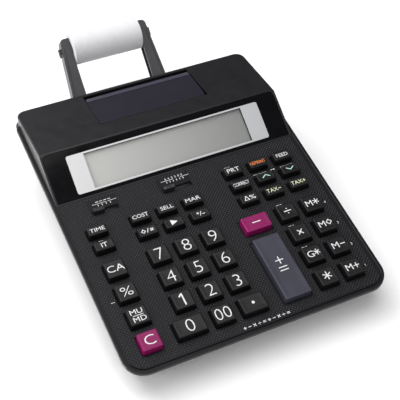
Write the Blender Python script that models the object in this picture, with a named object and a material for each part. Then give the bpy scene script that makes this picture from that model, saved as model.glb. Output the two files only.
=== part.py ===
"""Printing desk calculator as separate parts: case, keys, display, printer and paper holder.

Metres, +Z up, +Y to the rear, +X to the right of the person who uses it. The origin is the middle
of the space that the calculator takes up, at the level of the table. The sizes below are in
millimetres and degrees, and MM turns them into metres where a mesh or a place is made. The key
deck is tilted: most pieces of the top are drawn in the deck's frame, where y runs back along the
deck from its front edge and z stands out of it.
"""

import math

import bmesh
import bpy

MM = 0.001

# Case
BODY_WIDTH = 195.0
DECK_TILT = 8.0
DECK_FRONT_HEIGHT = 22.2
WALL = 2.0
GAP = 0.4
FRONT_RADIUS = 15.0
CASE_STEPS = 8
RIM_WIDTH = 3.5
RIM_HEIGHT = 3.5
RIM_LENGTH = 223.3
RIM_END_RADIUS = 3.0
GROOVE_INSET = 2.4
GROOVE_WIDTH = 0.8
GROOVE_DEPTH = 0.6
SIDE_DRAFT = 0.325
FLOOR_HEIGHT = 3.0
FLOOR_FRONT = 14.0
REAR_RADIUS = 7.0
LOWER_FRONT = 1.2
LOWER_REAR = 230.2
FLOOR_REAR = 228.5
FOOT_RADIUS = 7.0
FOOT_SIDES = 16
FOOT_PLACES = ((-70.0, 30.0), (70.0, 30.0), (-64.0, 216.0), (64.0, 216.0))

# Raised part behind the keys: y and z in the deck's frame
RAISED_HALF_WIDTH = 94.2
DISPLAY_FRONT = (143.2, 0.0)
RIDGE = (178.4, 15.35)
BACK_EDGE = (232.1, 4.1)
REAR_TOP = (233.3, 2.9)
REAR_LOW = (232.4, -RIM_HEIGHT)
DISPLAY_BACKING = 4.3

# Keys: left edge of the top, front edge of the top, top's width and depth
KEY_WIDTH = 13.6
KEY_DEPTH = 12.85
SMALL_KEY_DEPTH = 7.4
KEY_HEIGHT = 5.0
KEY_SHOULDER = 0.7
KEY_DRAFT = 0.5
KEY_FLANGE = 1.3
KEY_FLANGE_TOP = -2.4
KEY_FLANGE_LOW = -3.4
KEY_CORNER = 1.2
COLUMN_PITCH = 20.15
ROW_PITCH = 19.46
SMALL_ROW_PITCH = 13.45
CONTROL_LEFT = -82.85
DIGIT_LEFT = -50.8
RIGHT_LEFT = 28.25
ADD_LEFT = 20.2
ROW_FRONT = 13.0
SMALL_ROW_FRONT = 94.5
ADD_WIDTH = 19.8
ADD_DEPTH = 51.0
MINUS_DEPTH = 12.0
ZERO_EXTRA = 7.1
POINT_EXTRA = 4.2
WELL_PLAY = 0.4

# Sheet of rubber domes and main board, under the keys
SHEET_TOP = -5.6
SHEET_THICKNESS = 1.0
DOME_TOP = -3.8
DOME_RADIUS = 2.6
BOARD_TOP = -7.2
BOARD_THICKNESS = 1.6
SHEET_AREA = (-86.0, 86.0, 9.5, 136.0)
BOARD_AREA = (-88.0, 88.0, 10.0, 138.0)
CHIP_AREA = (-12.0, 12.0, 92.0, 116.0)
CHIP_THICKNESS = 2.5

# Slide switches: left and right end of each slot
SLOT_FRONT = 126.9
SLOT_WIDTH = 3.6
MODE_SLOT = (-73.0, -53.5)
DECIMAL_SLOT = (-19.0, 3.4)
KNOB_WIDTH = 7.6
KNOB_DEPTH = 3.0
KNOB_HEIGHT = 3.5
KNOB_FLANGE = 1.9

# Display: x, and y up the display slope
PANEL_HALF_WIDTH = 92.6
PANEL_ENDS = (0.9, 37.6)
PANEL_THICKNESS = 1.6
PANEL_RADIUS = 4.0
WINDOW = (-63.4, 62.5, 4.9, 31.4)
LCD_BOX = (-70.0, 70.0, 3.4, 34.0)
LCD_THICKNESS = 4.0

# Printer: x from its centre line, and y back along the rear deck from the ridge
PRINTER_X = 1.5
BAY_HALF_WIDTH = 43.2
BAY_ENDS = (15.8, 52.6)
COVER_END = 47.2
COVER_THICKNESS = 1.8
COVER_LIP = 4.8
NOTCH_WIDTH = 2.8
NOTCH_LENGTH = 30.0

# Printer works: y from the front edge and z, in the upright frame
FRAME_HALF_WIDTH = 40.0
FRAME_ENDS = (190.5, 225.0)
FRAME_HEIGHTS = (24.5, 53.0)
SHAFT_RADIUS = 2.0
SHAFT_PLAY = 0.3
DRUM_PLACE = (205.0, 40.0)
DRUM_RADIUS = 7.0
DRUM_LENGTH = 58.0
INK_PLACE = (198.5, 50.4)
INK_RADIUS = 5.0
INK_LENGTH = 24.0
FEED_PLACE = (218.0, 40.0)
FEED_RADIUS = 5.4
FEED_LENGTH = 56.0
MOTOR_RADIUS = 8.0
MOTOR_PLACE = (216.0, 38.0)
MOTOR_LENGTH = 22.0

# Paper holder and roll
HINGE_Y = 245.3
HINGE_HEIGHT = 12.0
HOLDER_LEAN = 41.0
ARM_TO_ROLL = 63.0
ARM_TIP = 9.0
ARM_THICKNESS = 9.0
ARM_POCKET_ENDS = (8.0, 50.0)
ARM_POCKET_DEPTH = 5.0
ARM_POCKET_WALL = 1.6
ARM_BASE_WIDTH = 13.5
ARM_TIP_WIDTH = 7.6
ARM_TIP_RADIUS = 3.4
ARM_HEEL = 4.0
ROLL_LENGTH = 57.8
ROLL_RADIUS = 12.9
CORE_RADIUS = 5.2
SPIGOT_RADIUS = 4.6
SPIGOT_LENGTH = 3.2
ROD_RADIUS = 2.5
LUG_WIDTH = 6.0
LUG_RADIUS = 6.5
LUG_GAP = 0.7
LUG_ROOT = 228.6
CATCH_SIZE = (2.8, 4.4, 3.0)

# Slot for the paper in the rear wall, power socket and battery bay
INLET_HALF_WIDTH = 31.0
INLET_HEIGHTS = (27.5, 34.5)
JACK_PLACE = (-66.0, 22.0)
JACK_RADIUS = 4.4
JACK_BORE = 3.3
JACK_BORE_DEPTH = 9.0
JACK_BODY = (12.0, 12.0, 12.0)
JACK_FACE = 229.6
JACK_SHOULDER = 226.6
BATTERY_BAY = (-78.0, -15.0, 146.0, 200.0)
BATTERY_HEIGHT = 20.0
DOOR_LEDGE = 1.5
DOOR_THICKNESS = 1.6
DOOR_HINGE_INSET = 0.8

HALF_WIDTH = BODY_WIDTH / 2
ARM_INNER = ROLL_LENGTH / 2 + 0.3
LEAN = math.radians(HOLDER_LEAN)
ROLL_Y = HINGE_Y + ARM_TO_ROLL * math.cos(LEAN)
LENGTH = ROLL_Y + ROLL_RADIUS
FRONT_Y = -LENGTH / 2
TILT = math.radians(DECK_TILT)


def clear_scene():
    for obj in list(bpy.data.objects):
        bpy.data.objects.remove(obj, do_unlink=True)


def material(name, colour, roughness, metallic=0.0):
    made = bpy.data.materials.new(name)
    made.use_nodes = True
    shader = made.node_tree.nodes["Principled BSDF"]
    shader.inputs["Base Color"].default_value = (*colour, 1.0)
    shader.inputs["Roughness"].default_value = roughness
    shader.inputs["Metallic"].default_value = metallic
    return made


def empty(name, location, turn_x=0.0, parent=None):
    """A frame that pieces are drawn in; location in mm, turned about X in degrees."""
    made = bpy.data.objects.new(name, None)
    made.location = [value * MM for value in location]
    made.rotation_euler.x = math.radians(turn_x)
    made.parent = parent
    bpy.context.scene.collection.objects.link(made)
    return made


def add(name, bm, finish=None, parent=None, location=(0, 0, 0)):
    """Makes the mesh an object at a place in its parent's frame, all in mm. No finish means a cutter."""
    bmesh.ops.recalc_face_normals(bm, faces=bm.faces)
    bmesh.ops.scale(bm, vec=(MM, MM, MM), verts=bm.verts)
    mesh = bpy.data.meshes.new(name)
    bm.to_mesh(mesh)
    bm.free()
    made = bpy.data.objects.new(name, mesh)
    bpy.context.scene.collection.objects.link(made)
    made.parent = parent
    made.location = [value * MM for value in location]
    if finish:
        mesh.materials.append(finish)
    else:
        made.hide_render = True
        made.display_type = "WIRE"
    return made


def combine(target, other, operation):
    modifier = target.modifiers.new(other.name, "BOOLEAN")
    modifier.operation = operation
    modifier.solver = "EXACT"
    modifier.object = other


def smooth(obj):
    obj.data.shade_smooth()
    obj.data.set_sharp_from_angle(angle=math.radians(40))


def outline(left, right, front, rear, front_radius=0.0, rear_radius=0.0, steps=3):
    """Corner points of a rectangle, each corner an arc, anticlockwise from the front left."""
    corners = (
        (left, front, 1, 1, 180, front_radius),
        (right, front, -1, 1, 270, front_radius),
        (right, rear, -1, -1, 0, rear_radius),
        (left, rear, 1, -1, 90, rear_radius),
    )
    points = []
    for x, y, side_x, side_y, start, radius in corners:
        if not radius:
            points.append((x, y))
            continue
        for step in range(steps + 1):
            angle = math.radians(start + 90 * step / steps)
            points.append(
                (
                    x + side_x * radius + radius * math.cos(angle),
                    y + side_y * radius + radius * math.sin(angle),
                )
            )
    return points


def loft(bm, rings):
    """A closed body through rings of points that match one to one."""
    loops = [[bm.verts.new(point) for point in ring] for ring in rings]
    for low, high in zip(loops, loops[1:]):
        for i, vert in enumerate(low):
            j = (i + 1) % len(low)
            bm.faces.new((vert, low[j], high[j], high[i]))
    bm.faces.new(loops[0][::-1])
    bm.faces.new(loops[-1])


def prism(bm, points, low, high):
    """The outline drawn in x and y, from one height to another."""
    loft(bm, [[(x, y, z) for x, y in points] for z in (low, high)])


def bar(bm, points, left, right):
    """The outline drawn in y and z, from one x to another."""
    loft(bm, [[(x, y, z) for y, z in points] for x in (left, right)])


def box(bm, left, right, front, rear, low, high):
    prism(bm, outline(left, right, front, rear), low, high)


def ring(x, y, z, radius, sides):
    turns = [2 * math.pi * i / sides for i in range(sides)]
    return [(x, y + radius * math.cos(turn), z + radius * math.sin(turn)) for turn in turns]


def turned(bm, stations, y=0.0, z=0.0, sides=12):
    """A body turned about an axis along X: stations are (x, radius)."""
    loft(bm, [ring(x, y, z, radius, sides) for x, radius in stations])


def rod(name, stations, y, z, finish=None, parent=None, location=(0, 0, 0), sides=12):
    bm = bmesh.new()
    turned(bm, stations, y, z, sides)
    made = add(name, bm, finish, parent, location)
    smooth(made)
    return made


def inset(points, distances):
    """The outline with each side moved inwards; distances match the sides that start at each point."""
    lines = []
    for i, (x, y) in enumerate(points):
        next_x, next_y = points[(i + 1) % len(points)]
        length = math.hypot(next_x - x, next_y - y)
        along = ((next_x - x) / length, (next_y - y) / length)
        lines.append(((x - along[1] * distances[i], y + along[0] * distances[i]), along))
    moved = []
    for i, (start, along) in enumerate(lines):
        before, along_before = lines[i - 1]
        cross = along_before[0] * along[1] - along_before[1] * along[0]
        reach = ((start[0] - before[0]) * along[1] - (start[1] - before[1]) * along[0]) / cross
        moved.append((before[0] + along_before[0] * reach, before[1] + along_before[1] * reach))
    return moved


def deck_height(y):
    """Height above the table of the deck's plane, y from the front edge in the upright frame."""
    return DECK_FRONT_HEIGHT + y * math.tan(TILT)


def key_layout():
    """Name, left edge, front edge, width and depth of each key's top."""
    rows = [ROW_FRONT + ROW_PITCH * i for i in range(4)]
    small_rows = [SMALL_ROW_FRONT + SMALL_ROW_PITCH * i for i in range(3)]
    digits = [DIGIT_LEFT + COLUMN_PITCH * i for i in range(3)]
    right = [RIGHT_LEFT + COLUMN_PITCH * i for i in range(3)]
    grids = (
        (("key_clear", "key_mark_up", "key_percent", "key_all_clear"), (CONTROL_LEFT,), rows),
        (("key_1", "key_2", "key_3", "key_4", "key_5", "key_6", "key_7", "key_8", "key_9"),
         digits, rows[1:]),
        (("key_total", "key_memory_plus", "key_grand_total", "key_memory_minus",
          "key_multiply", "key_memory_subtotal", "key_divide", "key_memory_total"),
         right[1:], rows),
    )
    small_grids = (
        (("key_item", "key_time"), (CONTROL_LEFT,), small_rows[:2]),
        (("key_subtotal", "key_shift_right", "key_sign", "key_cost", "key_sell", "key_margin"),
         digits, small_rows[:2]),
        (("key_delta_percent", "key_tax_minus", "key_tax_plus",
          "key_correct", "key_check_up", "key_check_down",
          "key_print", "key_reprint", "key_feed"), right, small_rows),
    )
    for depth, group in ((KEY_DEPTH, grids), (SMALL_KEY_DEPTH, small_grids)):
        for names, columns, fronts in group:
            places = [(left, front) for front in fronts for left in columns]
            for name, (left, front) in zip(names, places):
                yield name, left, front, KEY_WIDTH, depth
    yield "key_0", digits[0] - ZERO_EXTRA, rows[0], KEY_WIDTH + ZERO_EXTRA, KEY_DEPTH
    yield "key_00", digits[1], rows[0], KEY_WIDTH, KEY_DEPTH
    yield "key_point", digits[2], rows[0], KEY_WIDTH + POINT_EXTRA, KEY_DEPTH
    yield "key_plus_equals", ADD_LEFT, rows[0], ADD_WIDTH, ADD_DEPTH
    yield "key_minus", ADD_LEFT, rows[3], ADD_WIDTH, MINUS_DEPTH


def button(name, width, depth, height, flange, shoulder, finish, parent, location):
    """A cap with a bevelled top, draft on its sides and a flange that holds it under the deck."""
    half_x = width / 2
    half_y = depth / 2
    stations = (
        (KEY_FLANGE_LOW, KEY_DRAFT + flange),
        (KEY_FLANGE_TOP, KEY_DRAFT + flange),
        (KEY_FLANGE_TOP, KEY_DRAFT),
        (height - shoulder, 0.1),
        (height, -shoulder * 0.6),
    )
    rings = []
    for z, grow in stations:
        points = outline(-half_x - grow, half_x + grow, -half_y - grow, half_y + grow,
                         min(KEY_CORNER, half_y / 2), min(KEY_CORNER, half_y / 2), 1)
        rings.append([(x, y, z) for x, y in points])
    bm = bmesh.new()
    loft(bm, rings)
    return add(name, bm, finish, parent, location)


def keys(deck, finishes):
    for name, left, front, width, depth in key_layout():
        finish = finishes.get(name, finishes["key"])
        middle = (left + width / 2, front + depth / 2, 0)
        button(name, width, depth, KEY_HEIGHT, KEY_FLANGE, KEY_SHOULDER, finish, deck, middle)


def well_cutter(deck):
    bm = bmesh.new()
    grow = KEY_DRAFT + WELL_PLAY
    for _name, left, front, width, depth in key_layout():
        box(bm, left - grow, left + width + grow, front - grow, front + depth + grow, -WALL - 1, 1)
    for left, right in (MODE_SLOT, DECIMAL_SLOT):
        box(bm, left, right, SLOT_FRONT, SLOT_FRONT + SLOT_WIDTH, -WALL - 1, 1)
    return add("well_cutter", bm, None, deck)


def raised_body(name, deck, shrink, profile, low):
    """The raised part's side outline over the deck, with its rear corners rounded in plan."""
    half = RAISED_HALF_WIDTH - shrink
    bm = bmesh.new()
    bar(bm, profile, -half, half)
    body = add(name, bm, None, deck)
    bm = bmesh.new()
    plan = outline(-half, half, DISPLAY_FRONT[0] - 5, REAR_TOP[0] + 1 - shrink,
                   0, REAR_RADIUS - shrink, CASE_STEPS)
    prism(bm, plan, low, RIDGE[1] + 1)
    combine(body, add(name + "_plan", bm, None, deck), "INTERSECT")
    return body


def upper_case(deck, display, rear_deck, finish):
    bm = bmesh.new()
    prism(bm, outline(-HALF_WIDTH, HALF_WIDTH, 0, RIM_LENGTH, FRONT_RADIUS, RIM_END_RADIUS,
                      CASE_STEPS), -RIM_HEIGHT, 0)
    case = add("upper_case", bm, finish, deck)

    profile = (DISPLAY_FRONT, (DISPLAY_FRONT[0], -RIM_HEIGHT), REAR_LOW, REAR_TOP, BACK_EDGE, RIDGE)
    raised = raised_body("raised_outside", deck, 0, profile, -RIM_HEIGHT - 1)
    combine(case, raised, "UNION")

    bm = bmesh.new()
    prism(bm, outline(RIM_WIDTH - HALF_WIDTH, HALF_WIDTH - RIM_WIDTH, RIM_WIDTH,
                      DISPLAY_FRONT[0] + 10, FRONT_RADIUS - RIM_WIDTH, 0, CASE_STEPS),
          -RIM_HEIGHT - 1, -WALL)
    combine(case, add("deck_hollow", bm, None, deck), "DIFFERENCE")

    deep = (DISPLAY_FRONT, (DISPLAY_FRONT[0], -RIM_HEIGHT - 3),
            (REAR_LOW[0], -RIM_HEIGHT - 3), REAR_TOP, BACK_EDGE, RIDGE)
    hollow = inset(deep, (-WALL, 0, WALL, WALL, WALL, DISPLAY_BACKING))
    inside = raised_body("raised_inside", deck, WALL, hollow, -RIM_HEIGHT - 4)
    combine(case, inside, "DIFFERENCE")

    combine(case, well_cutter(deck), "DIFFERENCE")
    combine(case, groove_cutter(deck), "DIFFERENCE")
    combine(case, display_cutter(display), "DIFFERENCE")
    combine(case, bay_cutter(rear_deck), "DIFFERENCE")
    return case


def groove_cutter(deck):
    """The fine groove round the deck, inside the rim."""
    bm = bmesh.new()
    rings = []
    for reach, z in ((GROOVE_INSET, 1), (GROOVE_INSET, -GROOVE_DEPTH),
                     (GROOVE_INSET + GROOVE_WIDTH, -GROOVE_DEPTH), (GROOVE_INSET + GROOVE_WIDTH, 1)):
        half = HALF_WIDTH - reach
        plan = outline(-half, half, reach, RIM_LENGTH + 20, FRONT_RADIUS - reach, 0, CASE_STEPS)
        rings.append([bm.verts.new((x, y, z)) for x, y in plan])
    for one, other in zip(rings, rings[1:] + rings[:1]):
        for i, vert in enumerate(one):
            j = (i + 1) % len(one)
            bm.faces.new((vert, one[j], other[j], other[i]))
    keep_out = add("groove_ring", bm, None, deck)
    bm = bmesh.new()
    box(bm, -HALF_WIDTH, HALF_WIDTH, -1, DISPLAY_FRONT[0] - 0.5, -2, 2)
    combine(keep_out, add("groove_reach", bm, None, deck), "INTERSECT")
    return keep_out


def display_cutter(display):
    """The recess that the display panel lies in, and the opening for the display behind it."""
    bm = bmesh.new()
    half = PANEL_HALF_WIDTH + GAP
    front, rear = PANEL_ENDS
    plan = outline(-half, half, front - GAP, rear + GAP, 1.0, PANEL_RADIUS, 2)
    prism(bm, plan, -PANEL_THICKNESS - GAP, 4)
    recess = add("panel_recess", bm, None, display)
    left, right, low, high = LCD_BOX
    bm = bmesh.new()
    box(bm, left - GAP, right + GAP, low - GAP, high + GAP, -12, 1)
    combine(recess, add("display_opening", bm, None, display), "UNION")
    return recess


def bay_cutter(rear_deck):
    """The printer's opening in the rear deck, with the finger notch beside the cover's right edge."""
    bm = bmesh.new()
    left = PRINTER_X - BAY_HALF_WIDTH
    right = PRINTER_X + BAY_HALF_WIDTH
    front, rear = BAY_ENDS
    plan = (
        (left, front), (right, front), (right + NOTCH_WIDTH, front + 1.2),
        (right + NOTCH_WIDTH, front + 3.5), (right, front + NOTCH_LENGTH), (right, rear), (left, rear),
    )
    prism(bm, plan, -4, 2)
    return add("bay_cutter", bm, None, rear_deck)


def lower_plan(top, shrink):
    """Points of the lower case's outline at its floor or at its top edge, anticlockwise."""
    front = LOWER_FRONT if top else FLOOR_FRONT
    rear = LOWER_REAR if top else FLOOR_REAR
    front_height = deck_height(front) - FLOOR_HEIGHT
    rear_height = deck_height(rear) - FLOOR_HEIGHT
    top_half = HALF_WIDTH - SIDE_DRAFT * (RIM_HEIGHT + GAP)
    half_front = top_half if top else HALF_WIDTH - SIDE_DRAFT * front_height
    half_rear = top_half if top else HALF_WIDTH - SIDE_DRAFT * rear_height
    front_radius = FRONT_RADIUS - 2
    corners = (
        (-half_front, front, 1, 1, 180, front_radius),
        (half_front, front, -1, 1, 270, front_radius),
        (half_rear, rear, -1, -1, 0, REAR_RADIUS),
        (-half_rear, rear, 1, -1, 90, REAR_RADIUS),
    )
    points = []
    for x, y, side_x, side_y, start, radius in corners:
        for step in range(CASE_STEPS + 1):
            angle = math.radians(start + 90 * step / CASE_STEPS)
            reach = radius - shrink
            points.append((x + side_x * radius + reach * math.cos(angle),
                           y + side_y * radius + reach * math.sin(angle)))
    return points


def lower_case(base, finish):
    top_drop = (RIM_HEIGHT + GAP) / math.cos(TILT)
    bm = bmesh.new()
    loft(bm, [
        [(x, y, FLOOR_HEIGHT) for x, y in lower_plan(False, 0)],
        [(x, y, deck_height(y) - top_drop) for x, y in lower_plan(True, 0)],
    ])
    case = add("lower_case", bm, finish, base)

    bm = bmesh.new()
    loft(bm, [
        [(x, y, FLOOR_HEIGHT + WALL) for x, y in lower_plan(False, WALL)],
        [(x, y, deck_height(y) - top_drop + 0.6) for x, y in lower_plan(True, WALL)],
    ])
    combine(case, add("lower_hollow", bm, None, base), "DIFFERENCE")

    left, right, front, rear = BATTERY_BAY
    roof = FLOOR_HEIGHT + BATTERY_HEIGHT
    bm = bmesh.new()
    box(bm, left - WALL, right + WALL, front - WALL, rear + WALL, FLOOR_HEIGHT + 1, roof)
    combine(case, add("battery_walls", bm, None, base), "UNION")
    bm = bmesh.new()
    box(bm, left + DOOR_LEDGE, right - DOOR_LEDGE, front + DOOR_LEDGE, rear - DOOR_LEDGE,
        -1, roof - 1.5)
    combine(case, add("battery_hollow", bm, None, base), "DIFFERENCE")
    bm = bmesh.new()
    box(bm, left, right, front, rear, -2, FLOOR_HEIGHT + DOOR_THICKNESS + 0.5)
    combine(case, add("door_recess", bm, None, base), "DIFFERENCE")

    for i, (x, y) in enumerate(FOOT_PLACES):
        bm = bmesh.new()
        turns = [2 * math.pi * step / FOOT_SIDES for step in range(FOOT_SIDES)]
        circle = [(x + FOOT_RADIUS * math.cos(a), y + FOOT_RADIUS * math.sin(a)) for a in turns]
        prism(bm, circle, 0, FLOOR_HEIGHT + 1)
        combine(case, add(f"foot_{i}", bm, None, base), "UNION")

    inner = ARM_INNER + ARM_BASE_WIDTH + LUG_GAP
    for side in (-1, 1):
        ends = sorted((PRINTER_X + side * inner, PRINTER_X + side * (inner + LUG_WIDTH)))
        bm = bmesh.new()
        bar(bm, lug_profile(), *ends)
        lug = add(f"lug_{'left' if side < 0 else 'right'}", bm, None, base)
        combine(case, lug, "UNION")
    reach = inner + LUG_WIDTH + 1
    bore = rod("lug_bore", ((PRINTER_X - reach, ROD_RADIUS + SHAFT_PLAY),
                            (PRINTER_X + reach, ROD_RADIUS + SHAFT_PLAY)), HINGE_Y, HINGE_HEIGHT,
               None, base)
    combine(case, bore, "DIFFERENCE")

    bm = bmesh.new()
    box(bm, PRINTER_X - INLET_HALF_WIDTH, PRINTER_X + INLET_HALF_WIDTH, 222, 236, *INLET_HEIGHTS)
    combine(case, add("inlet_cutter", bm, None, base), "DIFFERENCE")
    combine(case, jack_cylinder("jack_hole", JACK_RADIUS + GAP, 225, 236, base), "DIFFERENCE")
    return case


def lug_profile():
    """Side outline of a hinge lug: square to the wall, round about the hinge."""
    points = [(LUG_ROOT, HINGE_HEIGHT - LUG_RADIUS)]
    for step in range(7):
        angle = math.radians(-90 + 180 * step / 6)
        points.append((HINGE_Y + LUG_RADIUS * math.cos(angle),
                       HINGE_HEIGHT + LUG_RADIUS * math.sin(angle)))
    points.append((LUG_ROOT, HINGE_HEIGHT + LUG_RADIUS))
    return points


def jack_cylinder(name, radius, front, rear, parent, finish=None):
    """A round body along Y at the power socket."""
    x, z = JACK_PLACE
    turns = [2 * math.pi * i / 12 for i in range(12)]
    bm = bmesh.new()
    loft(bm, [[(x + radius * math.cos(a), y, z + radius * math.sin(a)) for a in turns]
              for y in (front, rear)])
    return add(name, bm, finish, parent)


def power_socket(base, finish):
    x, z = JACK_PLACE
    width, depth, height = JACK_BODY
    jack = jack_cylinder("dc_jack", JACK_RADIUS, JACK_SHOULDER - 2, JACK_FACE, base, finish)
    bm = bmesh.new()
    box(bm, x - width / 2, x + width / 2, JACK_SHOULDER - depth, JACK_SHOULDER,
        z - height / 2, z + height / 2)
    combine(jack, add("jack_body", bm, None, base), "UNION")
    bore = jack_cylinder("jack_bore", JACK_BORE, JACK_FACE - JACK_BORE_DEPTH, JACK_FACE + 2, base)
    combine(jack, bore, "DIFFERENCE")


def battery_door(base, finish):
    left, right, front, rear = BATTERY_BAY
    hinge = (0, front + GAP + DOOR_HINGE_INSET, FLOOR_HEIGHT + DOOR_THICKNESS / 2)
    bm = bmesh.new()
    box(bm, left + GAP, right - GAP, -DOOR_HINGE_INSET, rear - GAP - hinge[1],
        -DOOR_THICKNESS / 2, DOOR_THICKNESS / 2)
    add("battery_door", bm, finish, base, hinge)


def display_parts(display, panel_finish, lcd_finish):
    front, rear = PANEL_ENDS
    plan = outline(-PANEL_HALF_WIDTH, PANEL_HALF_WIDTH, front, rear, 1.0, PANEL_RADIUS, 2)
    bm = bmesh.new()
    prism(bm, plan, -PANEL_THICKNESS, 0)
    panel = add("display_panel", bm, panel_finish, display)
    left, right, low, high = WINDOW
    bm = bmesh.new()
    box(bm, left, right, low, high, -4, 1)
    combine(panel, add("window_cutter", bm, None, display), "DIFFERENCE")
    left, right, low, high = LCD_BOX
    top = -PANEL_THICKNESS - GAP
    bm = bmesh.new()
    box(bm, left, right, low, high, top - LCD_THICKNESS, top)
    add("lcd_module", bm, lcd_finish, display)


def printer_cover(rear_deck, finish):
    """The smoked cover, with its rear edge turned down to guide the paper out."""
    half = BAY_HALF_WIDTH - GAP
    hinge = (PRINTER_X, BAY_ENDS[0] + GAP + COVER_THICKNESS / 2, -COVER_THICKNESS / 2)
    top = COVER_THICKNESS / 2
    rear = COVER_END - hinge[1]
    profile = (
        (-COVER_THICKNESS / 2, top), (-COVER_THICKNESS / 2, -top),
        (rear - COVER_THICKNESS, -top), (rear - COVER_THICKNESS, top - COVER_LIP),
        (rear, top - COVER_LIP), (rear, top - 0.8), (rear - 0.8, top),
    )
    bm = bmesh.new()
    bar(bm, profile, -half, half)
    add("printer_cover", bm, finish, rear_deck, hinge)


def printer_works(base, frame_finish, drum_finish, ink_finish, rubber_finish):
    front, rear = FRAME_ENDS
    low, high = FRAME_HEIGHTS
    left = PRINTER_X - FRAME_HALF_WIDTH
    right = PRINTER_X + FRAME_HALF_WIDTH
    bm = bmesh.new()
    box(bm, left, right, front, rear, low, low + WALL)
    frame = add("printer_frame", bm, frame_finish, base)
    for name, x in (("left_plate", left), ("right_plate", right - WALL)):
        bm = bmesh.new()
        box(bm, x, x + WALL, front, rear, low, high)
        combine(frame, add(name, bm, None, base), "UNION")
    motor = rod("motor", ((left - MOTOR_LENGTH, MOTOR_RADIUS), (left + WALL / 2, MOTOR_RADIUS)),
                *MOTOR_PLACE, None, base)
    combine(frame, motor, "UNION")
    works = (
        ("print_drum", DRUM_PLACE, DRUM_RADIUS, DRUM_LENGTH, drum_finish),
        ("ink_roller", INK_PLACE, INK_RADIUS, INK_LENGTH, ink_finish),
        ("feed_roller", FEED_PLACE, FEED_RADIUS, FEED_LENGTH, rubber_finish),
    )
    for name, (y, z), radius, length, finish in works:
        hole = rod(name + "_hole", ((left + 0.8, SHAFT_RADIUS + SHAFT_PLAY),
                                    (right + 2, SHAFT_RADIUS + SHAFT_PLAY)), y, z, None, base)
        combine(frame, hole, "DIFFERENCE")
        stations = (
            (1.2 - FRAME_HALF_WIDTH, SHAFT_RADIUS), (-length / 2, SHAFT_RADIUS), (-length / 2, radius),
            (length / 2, radius), (length / 2, SHAFT_RADIUS), (FRAME_HALF_WIDTH + 0.6, SHAFT_RADIUS),
        )
        rod(name, stations, 0, 0, finish, base, (PRINTER_X, y, z))


def boards(deck, board_finish, sheet_finish):
    bm = bmesh.new()
    box(bm, *SHEET_AREA, SHEET_TOP - SHEET_THICKNESS, SHEET_TOP)
    sheet = add("key_sheet", bm, sheet_finish, deck)
    bm = bmesh.new()
    for _name, left, front, width, depth in key_layout():
        x = left + width / 2
        y = front + depth / 2
        corners = [math.radians(60 * i) for i in range(6)]
        loft(bm, [[(x + radius * math.cos(a), y + radius * math.sin(a), z) for a in corners]
                  for radius, z in ((DOME_RADIUS, SHEET_TOP - 0.5), (DOME_RADIUS * 0.7, DOME_TOP))])
    combine(sheet, add("domes", bm, None, deck), "UNION")
    bm = bmesh.new()
    box(bm, *BOARD_AREA, BOARD_TOP - BOARD_THICKNESS, BOARD_TOP)
    board = add("main_board", bm, board_finish, deck)
    bm = bmesh.new()
    box(bm, *CHIP_AREA, BOARD_TOP - BOARD_THICKNESS - CHIP_THICKNESS, BOARD_TOP - 1)
    combine(board, add("chip", bm, None, deck), "UNION")


def arm_plan(side):
    """Outline of one arm in x and y, y from the hinge towards the roll, with a rounded tip."""
    tip = ARM_TO_ROLL + ARM_TIP
    outer_tip = ARM_INNER + ARM_TIP_WIDTH
    points = [(ARM_INNER, -ARM_HEEL), (ARM_INNER + ARM_BASE_WIDTH, -ARM_HEEL),
              (ARM_INNER + ARM_BASE_WIDTH, ARM_HEEL)]
    for step in range(4):
        angle = math.radians(90 * step / 3)
        points.append((outer_tip - ARM_TIP_RADIUS + ARM_TIP_RADIUS * math.cos(angle),
                       tip - ARM_TIP_RADIUS + ARM_TIP_RADIUS * math.sin(angle)))
    points.append((ARM_INNER, tip))
    points = [(side * x, y) for x, y in points]
    return points if side > 0 else points[::-1]


def holder_and_roll(hinge, finish, paper_finish):
    half = ARM_THICKNESS / 2
    reach = ARM_INNER + ARM_BASE_WIDTH + LUG_WIDTH
    holder = rod("paper_holder", ((-reach, ROD_RADIUS), (reach, ROD_RADIUS)), 0, 0, finish, hinge)
    for side, word in ((-1, "left"), (1, "right")):
        bm = bmesh.new()
        prism(bm, arm_plan(side), -half, half)
        combine(holder, add(f"arm_{word}", bm, None, hinge), "UNION")
        ends = sorted((side * (ARM_INNER - 1), side * (ARM_INNER + ARM_POCKET_DEPTH)))
        bm = bmesh.new()
        box(bm, *ends, *ARM_POCKET_ENDS, ARM_POCKET_WALL - half, half - ARM_POCKET_WALL)
        combine(holder, add(f"arm_pocket_{word}", bm, None, hinge), "DIFFERENCE")
        ends = sorted((side * (ARM_INNER - SPIGOT_LENGTH), side * (ARM_INNER + 0.5)))
        spigot = rod(f"spigot_{word}", [(x, SPIGOT_RADIUS) for x in ends],
                     ARM_TO_ROLL, 0, None, hinge)
        combine(holder, spigot, "UNION")
        width, depth, height = CATCH_SIZE
        ends = sorted((side * (ARM_INNER + 4), side * (ARM_INNER + ARM_TIP_WIDTH + width)))
        bm = bmesh.new()
        box(bm, *ends, ARM_TO_ROLL - depth / 2, ARM_TO_ROLL + depth / 2, -height / 2, height / 2)
        combine(holder, add(f"catch_{word}", bm, None, hinge), "UNION")
    roll = rod("paper_roll", ((-ROLL_LENGTH / 2, ROLL_RADIUS), (ROLL_LENGTH / 2, ROLL_RADIUS)),
               0, 0, paper_finish, hinge, (0, ARM_TO_ROLL, 0), 28)
    core = rod("core_cutter", ((-ROLL_LENGTH, CORE_RADIUS), (ROLL_LENGTH, CORE_RADIUS)),
               ARM_TO_ROLL, 0, None, hinge, (0, 0, 0), 16)
    combine(roll, core, "DIFFERENCE")


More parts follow.
